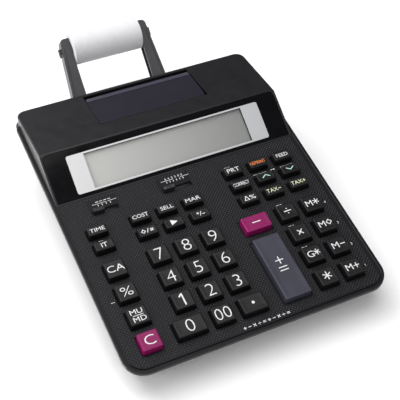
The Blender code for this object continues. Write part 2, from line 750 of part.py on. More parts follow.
def main():
    clear_scene()
    plastic = material("black_plastic", (0.014, 0.014, 0.016), 0.4)
    rim_plastic = material("dark_base_plastic", (0.018, 0.018, 0.020), 0.3)
    gloss = material("gloss_black", (0.006, 0.006, 0.007), 0.1)
    lcd = material("display_grey", (0.40, 0.41, 0.38), 0.3)
    smoke = material("smoked_plastic", (0.040, 0.036, 0.056), 0.16)
    arms = material("holder_plastic", (0.030, 0.030, 0.035), 0.36)
    paper = material("white_paper", (0.86, 0.86, 0.87), 0.9)
    board = material("circuit_board", (0.03, 0.16, 0.07), 0.5)
    rubber = material("grey_rubber", (0.25, 0.25, 0.26), 0.9)
    frame = material("frame_plastic", (0.16, 0.16, 0.18), 0.6)
    steel = material("print_drum_metal", (0.55, 0.55, 0.57), 0.35, 1.0)
    ink = material("ink_felt", (0.12, 0.03, 0.16), 0.95)
    key = material("key_black", (0.010, 0.010, 0.012), 0.34)
    magenta = material("key_magenta", (0.24, 0.012, 0.10), 0.34)
    slate = material("key_slate", (0.040, 0.040, 0.056), 0.34)

    base = empty("base_frame", (0, FRONT_Y, 0))
    deck = empty("deck_frame", (0, FRONT_Y, DECK_FRONT_HEIGHT), DECK_TILT)
    slope = math.degrees(math.atan2(RIDGE[1] - DISPLAY_FRONT[1], RIDGE[0] - DISPLAY_FRONT[0]))
    display = empty("display_frame", (0, *DISPLAY_FRONT), slope, deck)
    fall = math.degrees(math.atan2(BACK_EDGE[1] - RIDGE[1], BACK_EDGE[0] - RIDGE[0]))
    rear_deck = empty("rear_deck_frame", (0, *RIDGE), fall, deck)
    hinge = empty("holder_hinge", (PRINTER_X, FRONT_Y + HINGE_Y, HINGE_HEIGHT), HOLDER_LEAN)

    upper_case(deck, display, rear_deck, plastic)
    lower_case(base, rim_plastic)
    keys(deck, {"key": key, "key_clear": magenta, "key_minus": magenta, "key_plus_equals": slate})
    for name, (left, right) in (("mode_switch_knob", MODE_SLOT), ("decimal_switch_knob", DECIMAL_SLOT)):
        middle = (left + GAP + KNOB_WIDTH / 2 + KEY_DRAFT, SLOT_FRONT + SLOT_WIDTH / 2, 0)
        button(name, KNOB_WIDTH, KNOB_DEPTH - 2 * KEY_DRAFT, KNOB_HEIGHT, KNOB_FLANGE, GAP,
               key, deck, middle)
    boards(deck, board, rubber)
    display_parts(display, gloss, lcd)
    printer_cover(rear_deck, smoke)
    printer_works(base, frame, steel, ink, rubber)
    battery_door(base, rim_plastic)
    power_socket(base, plastic)
    holder_and_roll(hinge, arms, paper)


main()
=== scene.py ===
"""Looks of the printing desk calculator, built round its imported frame.

Pieces are modelled in millimetres in the frame of the face they belong to, and settle() then puts
them in place in metres. In the deck's frame y runs back along the key deck and z stands out of it;
in the display's and the rear deck's frames y runs up or back along that face.
"""

import math

import bpy
from mathutils import Matrix, Vector


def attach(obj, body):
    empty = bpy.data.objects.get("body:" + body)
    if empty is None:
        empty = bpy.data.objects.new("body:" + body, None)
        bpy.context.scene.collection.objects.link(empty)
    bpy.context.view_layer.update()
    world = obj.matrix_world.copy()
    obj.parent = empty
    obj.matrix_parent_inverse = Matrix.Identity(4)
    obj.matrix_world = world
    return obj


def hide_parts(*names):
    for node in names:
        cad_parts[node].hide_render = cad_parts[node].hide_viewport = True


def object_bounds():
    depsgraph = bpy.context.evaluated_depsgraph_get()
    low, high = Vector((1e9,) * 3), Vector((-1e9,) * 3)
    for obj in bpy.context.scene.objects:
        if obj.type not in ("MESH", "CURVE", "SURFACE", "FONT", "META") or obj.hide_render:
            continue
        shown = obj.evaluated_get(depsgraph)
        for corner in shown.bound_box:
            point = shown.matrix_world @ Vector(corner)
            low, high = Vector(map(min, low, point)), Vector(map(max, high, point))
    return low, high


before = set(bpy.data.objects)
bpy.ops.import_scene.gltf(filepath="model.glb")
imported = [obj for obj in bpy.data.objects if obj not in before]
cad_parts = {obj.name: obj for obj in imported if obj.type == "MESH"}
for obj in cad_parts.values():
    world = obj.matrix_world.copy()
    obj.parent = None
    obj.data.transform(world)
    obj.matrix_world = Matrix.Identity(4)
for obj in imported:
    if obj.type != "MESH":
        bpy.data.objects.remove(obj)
CAD_LOW, CAD_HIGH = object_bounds()

MM = 0.001

# Case, as in the frame
HALF_WIDTH = 97.5
DECK_TILT = 8.0
DECK_FRONT_HEIGHT = 22.2
WALL = 2.0
DISPLAY_WALL_SHARE = 2.2
FRONT_RADIUS = 15.0
RIM_HEIGHT = 3.5
RIM_WIDTH = 4
RIM_LENGTH = 223.3
GROOVE_INSET = 2.4
GROOVE_WIDTH = 0.8
GROOVE_DEPTH = 0.9
RAISED_HALF_WIDTH = 94.2
DISPLAY_FRONT = Vector((0, 143.2, 0))
RIDGE = Vector((0, 178.4, 15.35))
BACK_EDGE = Vector((0, 232.1, 4.1))
REAR_END = 233.3
REAR_RADIUS = 7.0
KEY_FLANGE = 1.3
KEY_DRAFT = 0.5
WELL_PLAY = 0.4

# Display, on its slope
PANEL_HALF_WIDTH = 92.6
PANEL_ENDS = (0.9, 37.6)
PANEL_THICKNESS = 1.6
BORDER = (-76.6, 76.6, 3.4, 32.7)
WINDOW = (-63.4, 62.5, 4.9, 31.4)

# Printer, on the rear deck
PRINTER_X = 1.5
BAY_HALF_WIDTH = 43.2
BAY_ENDS = (15.8, 52.6)
NOTCH_WIDTH = 3.4
NOTCH_LENGTH = 30.0
CUTTER_OVERHANG = 1.6
TEETH = 61

# Paper holder, y from its hinge towards the roll
HINGE_PLACE = (PRINTER_X, 245.3, 12.0)
HOLDER_LEAN = 41.0
ARM_TO_ROLL = 63.0
ROLL_LENGTH = 57.8
ROLL_RADIUS = 12.9
CORE_RADIUS = 5.2
ARM_INNER = ROLL_LENGTH / 2 + 0.3
ARM_BASE_WIDTH = 13.5
ARM_TIP_WIDTH = 7.6
ARM_HALF_DEPTH = 4.5
ARM_LENGTH = 72
ARM_BEHIND = 4
SEAM_LENGTH = 64
ARM_POCKET_ENDS = (8, 50)
ARM_POCKET_DEPTH = 5.0
ARM_POCKET_WALL = 1.6

FRONT_Y = CAD_LOW.y / MM


def turned_frame(place, turn_x, parent=Matrix()):
    return parent @ Matrix.Translation(place) @ Matrix.Rotation(math.radians(turn_x), 4, "X")


def slope(start, end):
    return math.degrees(math.atan2(end.z - start.z, end.y - start.y))


WORLD = Matrix.Scale(MM, 4)
BASE = WORLD @ Matrix.Translation((0, FRONT_Y, 0))
DECK = turned_frame((0, 0, DECK_FRONT_HEIGHT), DECK_TILT, BASE)
DISPLAY = turned_frame(DISPLAY_FRONT, slope(DISPLAY_FRONT, RIDGE), DECK)
REAR_DECK = turned_frame(RIDGE, slope(RIDGE, BACK_EDGE), DECK)
HOLDER = turned_frame(HINGE_PLACE, HOLDER_LEAN, BASE)


# ---------------------------------------------------------------- modelling


def deselect():
    bpy.ops.object.select_all(action="DESELECT")


def activate(piece):
    deselect()
    piece.select_set(True)
    bpy.context.view_layer.objects.active = piece


def apply_place():
    """Puts the active piece's place, turn and scale into its mesh."""
    bpy.ops.object.transform_apply(location=True, rotation=True, scale=True)


def named(name):
    piece = bpy.context.object
    piece.name = name
    piece.data.name = name
    return piece


def block(name, low, high):
    """A box between two corners."""
    deselect()
    middle = [(a + b) / 2 for a, b in zip(low, high)]
    bpy.ops.mesh.primitive_cube_add(size=1, location=middle)
    piece = named(name)
    piece.scale = [b - a for a, b in zip(low, high)]
    apply_place()
    return piece


def cylinder(name, radius, low, high, axis="Z", sides=32):
    """A round piece between two points that lie along one axis."""
    deselect()
    turn = {"X": (0, math.pi / 2, 0), "Y": (-math.pi / 2, 0, 0), "Z": (0, 0, 0)}[axis]
    low, high = Vector(low), Vector(high)
    bpy.ops.mesh.primitive_cone_add(
        vertices=sides, radius1=radius, radius2=radius, depth=(high - low).length,
        location=(low + high) / 2, rotation=turn)
    piece = named(name)
    apply_place()
    return piece


def enter():
    bpy.ops.object.mode_set(mode="EDIT")


def leave():
    bpy.ops.object.mode_set(mode="OBJECT")


def clear_choice(piece, kind):
    activate(piece)
    enter()
    bpy.ops.mesh.select_mode(type=kind)
    bpy.ops.mesh.select_all(action="DESELECT")
    leave()


def pick_faces(piece, test):
    """Edit mode, with the faces that pass a test of their middle and normal selected."""
    clear_choice(piece, "FACE")
    for face in piece.data.polygons:
        face.select = bool(test(face.center, face.normal))
    enter()


def pick_edges(piece, test):
    """Edit mode, with the edges whose two ends pass a test selected."""
    clear_choice(piece, "EDGE")
    points = piece.data.vertices
    for edge in piece.data.edges:
        a, b = (points[i].co for i in edge.vertices)
        edge.select = bool(test(a, b))
    enter()


def use_up(piece, modifier):
    """Applies a modifier to its piece."""
    activate(piece)
    bpy.ops.object.modifier_apply(modifier=modifier.name)


def bevel(piece, width, segments, test):
    """Rounds the edges whose ends pass the test."""
    pick_edges(piece, test)
    bpy.ops.mesh.bevel(offset=width, segments=segments, affect="EDGES", clamp_overlap=True)
    leave()


def soften(piece, width, segments=2, angle=30.0):
    """Rounds every sharp edge."""
    modifier = piece.modifiers.new("soften", "BEVEL")
    modifier.width = width
    modifier.segments = segments
    modifier.limit_method = "ANGLE"
    modifier.angle_limit = math.radians(angle)
    use_up(piece, modifier)


def close(a, b):
    return abs(a - b) < 0.01


def upright(y=None):
    """A test for upright edges, at a place along y if given."""
    return lambda a, b: close(a.x, b.x) and close(a.y, b.y) and (y is None or close(a.y, y))


def flat_at(z):
    """A test for edges that lie at a height."""
    return lambda a, b: close(a.z, z) and close(b.z, z)


def bisect(piece, point, normal):
    """Cuts off what lies on the normal's side of a plane."""
    activate(piece)
    enter()
    bpy.ops.mesh.select_all(action="SELECT")
    bpy.ops.mesh.bisect(plane_co=point, plane_no=normal, use_fill=True, clear_outer=True)
    leave()


def join(pieces, name):
    """Several shapes as one piece."""
    activate(pieces[0])
    for piece in pieces:
        piece.select_set(True)
    bpy.ops.object.join()
    return named(name)


def combine(piece, other, operation="DIFFERENCE"):
    """Boolean with one piece or with several that don't touch each other, which it uses up."""
    if isinstance(other, list):
        other = join(other, "cutter")
    modifier = piece.modifiers.new("cut", "BOOLEAN")
    modifier.operation = operation
    modifier.solver = "EXACT"
    modifier.object = other
    use_up(piece, modifier)
    bpy.data.objects.remove(other, do_unlink=True)
    return piece


def copy_of(piece, name, offset=(0, 0, 0)):
    """A copy with its own mesh, moved."""
    activate(piece)
    bpy.ops.object.duplicate(linked=False)
    made = named(name)
    made.location = offset
    apply_place()
    return made


def repeat(piece, count, step):
    """A row of copies in one mesh, a step apart."""
    modifier = piece.modifiers.new("repeat", "ARRAY")
    modifier.count = count
    modifier.use_relative_offset = False
    modifier.use_constant_offset = True
    modifier.constant_offset_displace = step
    use_up(piece, modifier)


# Print: the height of capitals in a font of size 1, the ends of print along z on keys and on the
# deck, the width of a stroke, and how much and from which height letters are thinned
CAPITAL_SHARE = 0.70
LEGEND_HEIGHTS = (4.80, 4.99)
PRINT_HEIGHTS = (-0.02, 0.07)
STROKE = 0.72
THINNING = 0.0035
THIN_FROM = 4.2

# Marks drawn with straight strokes: place, length and angle of each, for a mark of size 1
SIGNS = {
    "minus": ((0, 0, 1, 0),),
    "plus": ((0, 0, 1, 0), (0, 0, 1, 90)),
    "times": ((0, 0, 1.25, 45), (0, 0, 1.25, -45)),
    "equals": ((0, 0.2, 1, 0), (0, -0.2, 1, 0)),
    "star": ((0, 0, 1, 90), (0, 0, 1, 30), (0, 0, 1, -30)),
    "divide": ((0, 0, 1, 0), (0, 0.36, 0.15, 0), (0, -0.36, 0.15, 0)),
    "diamond": ((0.25, 0.25, 0.82, -45), (-0.25, 0.25, 0.82, 45),
                (0.25, -0.25, 0.82, 45), (-0.25, -0.25, 0.82, -45)),
    "slash": ((0, 0, 1.1, 66),),
    "hash": ((-0.2, 0, 0.9, 80), (0.2, 0, 0.9, 80), (0, 0.18, 0.9, 0), (0, -0.18, 0.9, 0)),
    "up": ((-0.24, 0, 0.64, 35), (0.24, 0, 0.64, -35)),
    "down": ((-0.24, 0, 0.64, -35), (0.24, 0, 0.64, 35)),
    "one": ((0.05, 0, 1, 90), (-0.08, 0.36, 0.34, 40)),
    "dash": ((0, 0, 1, 0),),
}


def stroke(x, y, length, angle, width, heights):
    made = block("stroke", (-length / 2, -width / 2, heights[0]), (length / 2, width / 2, heights[1]))
    made.rotation_euler.z = math.radians(angle)
    made.location = (x, y, 0)
    activate(made)
    apply_place()
    return made


def sign(kind, size, x, y, width=STROKE, heights=LEGEND_HEIGHTS):
    """A mark whose strokes are one solid where they cross."""
    strokes = [stroke(x + dx * size, y + dy * size, length * size, angle, width, heights)
               for dx, dy, length, angle in SIGNS[kind]]
    made = strokes.pop(0)
    if kind in ("equals", "divide"):
        return join([made, *strokes], kind)
    for other in strokes:
        combine(made, other, "UNION")
    return made


def lettering(text, height, x, y, spread=1.0, heights=LEGEND_HEIGHTS):
    """Raised print, centred at a place, with its capitals a height tall. Tall print is thinned."""
    deselect()
    bpy.ops.object.text_add(location=(0, 0, 0))
    piece = bpy.context.object
    piece.data.body = text
    piece.data.size = height / CAPITAL_SHARE
    piece.data.extrude = (heights[1] - heights[0]) / 2
    piece.data.offset = -THINNING * max(0.0, height - THIN_FROM) * piece.data.size
    piece.data.resolution_u = 3
    piece.data.space_line = 0.86
    bpy.ops.object.convert(target="MESH")
    piece = named("letters")
    across = [point.co.x for point in piece.data.vertices]
    along = [point.co.y for point in piece.data.vertices]
    middle = ((min(across) + max(across)) / 2, (min(along) + max(along)) / 2)
    piece.scale = (spread, 1, 1)
    piece.location = (x - middle[0] * spread, y - middle[1], sum(heights) / 2)
    apply_place()
    return piece


def printed(items, x, y, heights=LEGEND_HEIGHTS):
    """Marks and letters about a place: what, size, offset across and along, and width in shares or mm."""
    pieces = []
    for what, size, dx, dy, *more in items:
        if what in SIGNS:
            pieces.append(sign(what, size, x + dx, y + dy, *more, heights=heights))
        else:
            pieces.append(lettering(what, size, x + dx, y + dy, *more, heights=heights))
    return join(pieces, "print")


def settle(piece, place, body, finish, replaces=(), smooth=35.0):
    """Puts a finished piece in place, gives it its finish and lets it ride on a body."""
    activate(piece)
    bpy.ops.object.shade_smooth_by_angle(angle=math.radians(smooth))
    modifier = piece.modifiers.new("even_shading", "WEIGHTED_NORMAL")
    modifier.keep_sharp = True
    use_up(piece, modifier)
    piece.data.transform(place)
    piece.data.materials.clear()
    piece.data.materials.append(finish)
    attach(piece, body)
    if replaces:
        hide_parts(*replaces)
    return piece


def second_finish(piece, finish, test):
    """Gives the faces that pass a test another finish."""
    piece.data.materials.append(finish)
    for face in piece.data.polygons:
        if test(face.center, face.normal):
            face.material_index = len(piece.data.materials) - 1


def node_box(name, place):
    """Lowest and highest corner of a frame node, measured in a local frame."""
    inverse = place.inverted()
    points = [inverse @ point.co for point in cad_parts[name].data.vertices]
    low = Vector([min(point[i] for point in points) for i in range(3)])
    high = Vector([max(point[i] for point in points) for i in range(3)])
    return low, high


# ---------------------------------------------------------------- finishes


class Finish:
    """A material that is built from a few shared steps."""

    def __init__(self, name, colour, roughness, metallic=0.0):
        self.material = bpy.data.materials.new(name)
        self.material.use_nodes = True
        self.nodes = self.material.node_tree.nodes
        self.links = self.material.node_tree.links
        self.shader = self.nodes["Principled BSDF"]
        self.colour = colour
        self.roughness = roughness
        self.set("Base Color", (*colour, 1.0))
        self.set("Roughness", roughness)
        self.set("Metallic", metallic)
        self.place = self.nodes.new("ShaderNodeTexCoord").outputs["Object"]
        self.bumps = None

    def set(self, socket, value):
        self.shader.inputs[socket].default_value = value

    def noise(self, size, detail=2.0, stretch=None):
        """Noise with grains of about this size in mm."""
        node = self.nodes.new("ShaderNodeTexNoise")
        node.inputs["Scale"].default_value = 1 / (size * MM)
        node.inputs["Detail"].default_value = detail
        place = self.place
        if stretch:
            mapping = self.nodes.new("ShaderNodeMapping")
            mapping.inputs["Scale"].default_value = stretch
            self.links.new(place, mapping.inputs["Vector"])
            place = mapping.outputs["Vector"]
        self.links.new(place, node.inputs["Vector"])
        return node.outputs["Fac"]

    def spread(self, source, low, high, from_low=0.3, from_high=0.7):
        node = self.nodes.new("ShaderNodeMapRange")
        node.inputs["From Min"].default_value = from_low
        node.inputs["From Max"].default_value = from_high
        node.inputs["To Min"].default_value = low
        node.inputs["To Max"].default_value = high
        self.links.new(source, node.inputs["Value"])
        return node.outputs["Result"]

    def paint(self, colour):
        self.links.new(colour, self.shader.inputs["Base Color"])

    def shades(self, source, dark, light):
        """Colour that goes from dark to light with the source."""
        node = self.nodes.new("ShaderNodeMix")
        node.data_type = "RGBA"
        node.inputs["A"].default_value = (*dark, 1.0)
        node.inputs["B"].default_value = (*light, 1.0)
        self.links.new(source, node.inputs["Factor"])
        return node.outputs["Result"]

    def tint(self, share, size, detail=3.0):
        """Slight, cloudy changes of shade."""
        cloud = self.spread(self.noise(size, detail), 0.0, 1.0)
        dark = [c * (1 - share) for c in self.colour]
        light = [min(1.0, c * (1 + share)) for c in self.colour]
        self.paint(self.shades(cloud, dark, light))
        return self

    def across(self, ends, left, right):
        """Painted light: colour that goes from one shade to another along X, between two places in mm."""
        parts = self.nodes.new("ShaderNodeSeparateXYZ")
        self.links.new(self.place, parts.inputs["Vector"])
        share = self.spread(parts.outputs["X"], 0.0, 1.0, ends[0] * MM, ends[1] * MM)
        self.paint(self.shades(share, left, right))

    def gloss(self, change, size, detail=3.0, stretch=None):
        """Patches that shine a little more or less."""
        cloud = self.noise(size, detail, stretch)
        rough = self.spread(cloud, max(0.02, self.roughness - change), self.roughness + change)
        self.links.new(rough, self.shader.inputs["Roughness"])
        return self

    def bump(self, source, height):
        """Relief of a height in mm, on top of any relief given before."""
        node = self.nodes.new("ShaderNodeBump")
        node.inputs["Strength"].default_value = 1.0
        node.inputs["Distance"].default_value = height * MM
        self.links.new(source, node.inputs["Height"])
        if self.bumps:
            self.links.new(self.bumps, node.inputs["Normal"])
        self.bumps = node.outputs["Normal"]
        self.links.new(self.bumps, self.shader.inputs["Normal"])
        return self

    def painted_edge_highlight(self, light, low=0.52, high=0.60):
        """Painted highlight: edges made a little lighter, over a colour that is linked already."""
        edge = self.nodes.new("ShaderNodeNewGeometry").outputs["Pointiness"]
        share = self.spread(edge, 0.0, 1.0, low, high)
        node = self.nodes.new("ShaderNodeMix")
        node.data_type = "RGBA"
        socket = self.shader.inputs["Base Color"]
        self.links.new(socket.links[0].from_socket, node.inputs["A"])
        node.inputs["B"].default_value = (*light, 1.0)
        self.links.new(share, node.inputs["Factor"])
        self.paint(node.outputs["Result"])
        return self


def moulded(name, colour, roughness, grain=0.35, relief=0.012, shine=0.3):
    """Moulded plastic: a fine spark-eroded grain, clouds of shade and gloss."""
    finish = Finish(name, colour, roughness)
    finish.tint(0.10, 18.0)
    finish.gloss(0.05, 9.0)
    if relief:
        finish.bump(finish.noise(grain, 3.0), relief)
    finish.set("Specular IOR Level", shine)
    return finish


def glass_of_display():
    """Liquid crystal: grey-green, with painted light that makes it lighter to the left, and a fine cell
    pattern.
    """
    finish = Finish("liquid_crystal", (0.42, 0.43, 0.40), 0.22)
    finish.across(WINDOW[:2], (0.47, 0.47, 0.455), (0.22, 0.225, 0.22))
    finish.gloss(0.04, 6.0)
    finish.bump(finish.noise(0.5, 1.0), 0.004)
    finish.set("Coat Weight", 0.3)
    finish.set("Coat Roughness", 0.05)
    return finish.material


def border_paint():
    """Pale paint round the window, with painted shade that makes it greyer towards the right."""
    finish = Finish("display_border", (0.68, 0.68, 0.69), 0.35)
    finish.across(BORDER[:2], (0.62, 0.62, 0.625), (0.42, 0.425, 0.44))
    finish.gloss(0.04, 12.0)
    finish.set("Specular IOR Level", 0.3)
    return finish.material


def smoked_plastic():
    """Printer cover: tinted, glossy and a little see-through."""
    finish = Finish("smoked_plastic", (0.022, 0.020, 0.033), 0.16)
    finish.tint(0.08, 25.0)
    finish.gloss(0.05, 12.0)
    finish.bump(finish.noise(0.6, 2.0), 0.006)
    finish.set("Transmission Weight", 0.35)
    finish.set("IOR", 1.49)
    finish.set("Specular IOR Level", 0.2)
    return finish.material


def till_paper():
    """White paper with fine fibres."""
    finish = Finish("till_paper", (0.66, 0.66, 0.68), 0.85)
    finish.tint(0.03, 4.0)
    finish.bump(finish.noise(0.25, 4.0), 0.02)
    finish.bump(finish.noise(1.6, 2.0, (0.15, 1, 1)), 0.03)
    finish.set("Sheen Weight", 0.15)
    return finish.material


RING_PITCH = 0.35


def wound_paper():
    """Ends of the roll: the edges of its turns show as fine rings about its axis."""
    finish = Finish("wound_paper", (0.80, 0.80, 0.82), 0.9)
    axis = HOLDER @ Vector((0, ARM_TO_ROLL, 0))
    mapping = finish.nodes.new("ShaderNodeMapping")
    mapping.inputs["Location"].default_value = -axis
    finish.links.new(finish.place, mapping.inputs["Vector"])
    rings = finish.nodes.new("ShaderNodeTexWave")
    rings.wave_type = "RINGS"
    rings.rings_direction = "X"
    rings.inputs["Scale"].default_value = 1 / (20 * RING_PITCH * MM)
    rings.inputs["Distortion"].default_value = 0.4
    finish.links.new(mapping.outputs["Vector"], rings.inputs["Vector"])
    finish.paint(finish.shades(rings.outputs["Fac"], (0.62, 0.62, 0.64), (0.86, 0.86, 0.88)))
    finish.bump(rings.outputs["Fac"], 0.05)
    return finish.material


def cardboard():
    """Grey board of the roll's core."""
    finish = Finish("grey_board", (0.34, 0.30, 0.24), 0.9)
    finish.tint(0.2, 1.2)
    finish.bump(finish.noise(0.3, 3.0), 0.05)
    return finish.material


def solder_mask():
    """Green board with fine copper tracks under the lacquer."""
    finish = Finish("solder_mask", (0.02, 0.15, 0.06), 0.35)
    tracks = finish.nodes.new("ShaderNodeTexBrick")
    tracks.inputs["Scale"].default_value = 1 / (6 * MM)
    tracks.inputs["Mortar Size"].default_value = 0.05
    finish.links.new(finish.place, tracks.inputs["Vector"])
    finish.paint(finish.shades(tracks.outputs["Fac"], (0.02, 0.13, 0.05), (0.05, 0.24, 0.10)))
    finish.bump(tracks.outputs["Fac"], 0.05)
    return finish.material


def steel():
    """Drawn or turned metal, its fine lines along X."""
    stretch = (1, 12, 12)
    finish = Finish("bright_steel", (0.58, 0.58, 0.60), 0.30, 1.0)
    finish.tint(0.06, 6.0)
    finish.gloss(0.08, 1.0, 2.0, stretch)
    finish.bump(finish.noise(0.6, 2.0, stretch), 0.01)
    return finish.material


def soft(name, colour, roughness=0.85, grain=0.4, relief=0.04):
    """Rubber or felt."""
    finish = Finish(name, colour, roughness)
    finish.tint(0.12, 6.0)
    finish.bump(finish.noise(grain, 3.0), relief)
    return finish.material


def ink(name, colour):
    """Print: slightly uneven, with a satin skin."""
    finish = Finish(name, colour, 0.42)
    finish.tint(0.04, 1.5)
    finish.gloss(0.05, 0.8)
    return finish.material


def key_plastic(name, colour, light, shine=0.2, *edges):
    """Satin plastic of the keys, with a painted highlight that makes its edges lighter."""
    return moulded(name, colour, 0.34, 0.3, 0.006, shine).painted_edge_highlight(light, *edges).material


CASE = moulded("case_plastic", (0.0080, 0.0080, 0.0096), 0.38, 0.5, 0.02, 0.25).material
DECK_PLASTIC = moulded("deck_plastic", (0.0062, 0.0062, 0.0076), 0.42, 0.5, 0.02, 0.13).material
# The raised points are a lighter grey than the deck: a painted glint on them.
POINTS_PAINTED_GLINT = moulded("deck_points_painted_glint", (0.026, 0.026, 0.030), 0.26, 0.5, 0.0, 0.4).material
# The side walls are a light grey: a painted reflection of the pale floor beside them.
SIDES_PAINTED_REFLECTION = moulded("satin_sides_painted_reflection", (0.135, 0.135, 0.137), 0.36, 0.6, 0.004, 0.5).material
SATIN = moulded("satin_plastic", (0.014, 0.014, 0.016), 0.34, 0.6, 0.008).material
GLOSS = moulded("display_plastic", (0.0035, 0.0035, 0.0042), 0.08, 0.8, 0.0, 0.10).material
BASE_PLASTIC = moulded("base_plastic", (0.014, 0.014, 0.016), 0.30, 0.6, 0.012, 0.5).material
# Every key plastic below has a painted highlight along its edges.
KEY = key_plastic("key_plastic", (0.0050, 0.0050, 0.0058), (0.04, 0.04, 0.044), 0.22, 0.54, 0.62)
MAGENTA = key_plastic("magenta_plastic", (0.200, 0.006, 0.080), (0.40, 0.04, 0.18))
SLATE = key_plastic("slate_plastic", (0.038, 0.038, 0.054), (0.10, 0.10, 0.13))
ARM = moulded("arm_plastic", (0.034, 0.034, 0.039), 0.32, 0.5, 0.010, 0.6).material
FRAME_PLASTIC = moulded("works_plastic", (0.13, 0.13, 0.14), 0.5).material
BORDER_WHITE = border_paint()
LCD = glass_of_display()
SMOKE = smoked_plastic()
# Paler copy of the smoked plastic: a painted highlight along the cover's back edge.
SMOKE_EDGE_PAINTED_HIGHLIGHT = moulded("smoked_edge_painted_highlight", (0.045, 0.042, 0.062), 0.24, 0.6, 0.004, 0.4).material
PAPER = till_paper()
PAPER_ENDS = wound_paper()
BOARD_CORE = cardboard()
BOARD = solder_mask()
STEEL = steel()
DARK_RUBBER = soft("black_rubber", (0.035, 0.035, 0.036))
GREY_RUBBER = soft("grey_rubber", (0.22, 0.22, 0.23))
FELT = soft("inked_felt", (0.10, 0.03, 0.14), 0.95, 0.5, 0.12)
WHITE_INK = ink("white_print", (0.68, 0.68, 0.69))
ORANGE_INK = ink("orange_print", (0.72, 0.20, 0.05))
PALE_INK = ink("pale_green_print", (0.62, 0.68, 0.45))
MINT_INK = ink("mint_print", (0.45, 0.72, 0.62))


# ---------------------------------------------------------------- case

SLOT_FRONT = 126.9
SLOT_WIDTH = 3.6
SLOTS = ((-73.0, -53.5), (-19.0, 3.4))
WELL_DEPTH = 6
DISPLAY_OPENING = ((-70.4, 3.0), (70.4, 34.4))


def groove():
    """Cutter for the fine groove inside the rim, open at the back."""
    reach = GROOVE_INSET
    low = (reach - HALF_WIDTH, reach, -GROOVE_DEPTH)
    outer = block("groove_outer", low, (HALF_WIDTH - reach, 260, 2))
    bevel(outer, FRONT_RADIUS - reach, 10, upright(y=reach))
    reach = GROOVE_INSET + GROOVE_WIDTH
    inner = block("groove_inner", (reach - HALF_WIDTH, reach, -3), (HALF_WIDTH - reach, 270, 3))
    bevel(inner, FRONT_RADIUS - reach, 10, upright(y=reach))
    return combine(outer, inner)


def raised(name, shrink, low):
    """The raised part's body: a box cut along the display slope and the rear deck."""
    half = RAISED_HALF_WIDTH - shrink
    body = block(name, (-half, DISPLAY_FRONT.y - 1, low), (half, REAR_END - shrink, 22))
    bevel(body, REAR_RADIUS - shrink, 8, upright(y=REAR_END - shrink))
    for start, end in ((DISPLAY_FRONT, RIDGE), (RIDGE, BACK_EDGE)):
        normal = Vector((0, start.z - end.z, end.y - start.y)).normalized()
        inwards = shrink * (DISPLAY_WALL_SHARE if start == DISPLAY_FRONT else 1)
        bisect(body, start - normal * inwards, normal)
    return body


def key_names():
    """Nodes that are keys, in a fixed order."""
    return sorted(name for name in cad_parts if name.startswith("key_") and name != "key_sheet")


def well_cutters():
    """One opening for each key and for each slide switch."""
    cutters = []
    for name in key_names():
        low, high = node_box(name, DECK)
        reach = KEY_FLANGE - WELL_PLAY
        cutter = block("well", (low.x + reach, low.y + reach, -WELL_DEPTH),
                       (high.x - reach, high.y - reach, 2))
        bevel(cutter, 0.9, 3, upright())
        cutters.append(cutter)
    for left, right in SLOTS:
        cutters.append(block("slot", (left, SLOT_FRONT, -WELL_DEPTH),
                             (right, SLOT_FRONT + SLOT_WIDTH, 2)))
    return cutters


def case_top():
    """The upper shell: deck with its rim, raised part, and everything that opens through it."""
    case = block("case_top", (-HALF_WIDTH, 0, -RIM_HEIGHT), (HALF_WIDTH, RIM_LENGTH, 0))
    bevel(case, FRONT_RADIUS, 12, upright(y=0))
    bevel(case, 3.0, 4, upright(y=RIM_LENGTH))
    bevel(case, 0.8, 3, flat_at(0))
    bevel(case, 0.4, 2, flat_at(-RIM_HEIGHT))
    combine(case, groove())

    def on_top_edge(a, b):
        at_side = min(abs(a.x), abs(b.x)) > 70
        at_rear = min(a.y, b.y) > RIDGE.y + 2
        return min(a.z, b.z) > 0.3 and a.y > DISPLAY_FRONT.y and (at_side or at_rear)

    body = raised("raised_part", 0, -RIM_HEIGHT)
    bevel(body, 1.2, 3, on_top_edge)
    combine(case, body, "UNION")

    hollow = block("deck_hollow", (RIM_WIDTH - HALF_WIDTH, RIM_WIDTH, -WELL_DEPTH),
                   (HALF_WIDTH - RIM_WIDTH, DISPLAY_FRONT.y + 8, -WALL))
    bevel(hollow, FRONT_RADIUS - RIM_WIDTH, 8, upright(y=RIM_WIDTH))
    combine(case, hollow)
    combine(case, raised("raised_hollow", WALL, -8))

    combine(case, well_cutters())
    combine(case, bay_cutter())
    case.data.transform(DISPLAY.inverted() @ DECK)
    combine(case, panel_recess())
    case.data.transform(DECK.inverted() @ DISPLAY)
    settle(case, DECK, "case", CASE, ["upper_case"])
    # Side walls take the light grey of the painted reflection.
    second_finish(case, SIDES_PAINTED_REFLECTION, lambda middle, normal: abs(normal.x) > 0.9 and abs(middle.x) > 90 * MM)
    deck_up = (DECK.to_3x3() @ Vector((0, 0, 1))).normalized()
    second_finish(case, DECK_PLASTIC, lambda middle, normal: normal.dot(deck_up) > 0.9995)


def panel_recess():
    """Cutter for the display panel's seat and the opening behind its window."""
    front, rear = PANEL_ENDS
    gap = 0.25
    recess = block("panel_recess", (-PANEL_HALF_WIDTH - gap, front - gap, -PANEL_THICKNESS - gap),
                   (PANEL_HALF_WIDTH + gap, rear + gap, 4))
    bevel(recess, 4.0, 6, upright(y=rear + gap))
    bevel(recess, 1.0, 3, upright(y=front - gap))
    low, high = DISPLAY_OPENING
    opening = block("display_opening", (*low, -12), (*high, 1))
    return combine(recess, opening, "UNION")


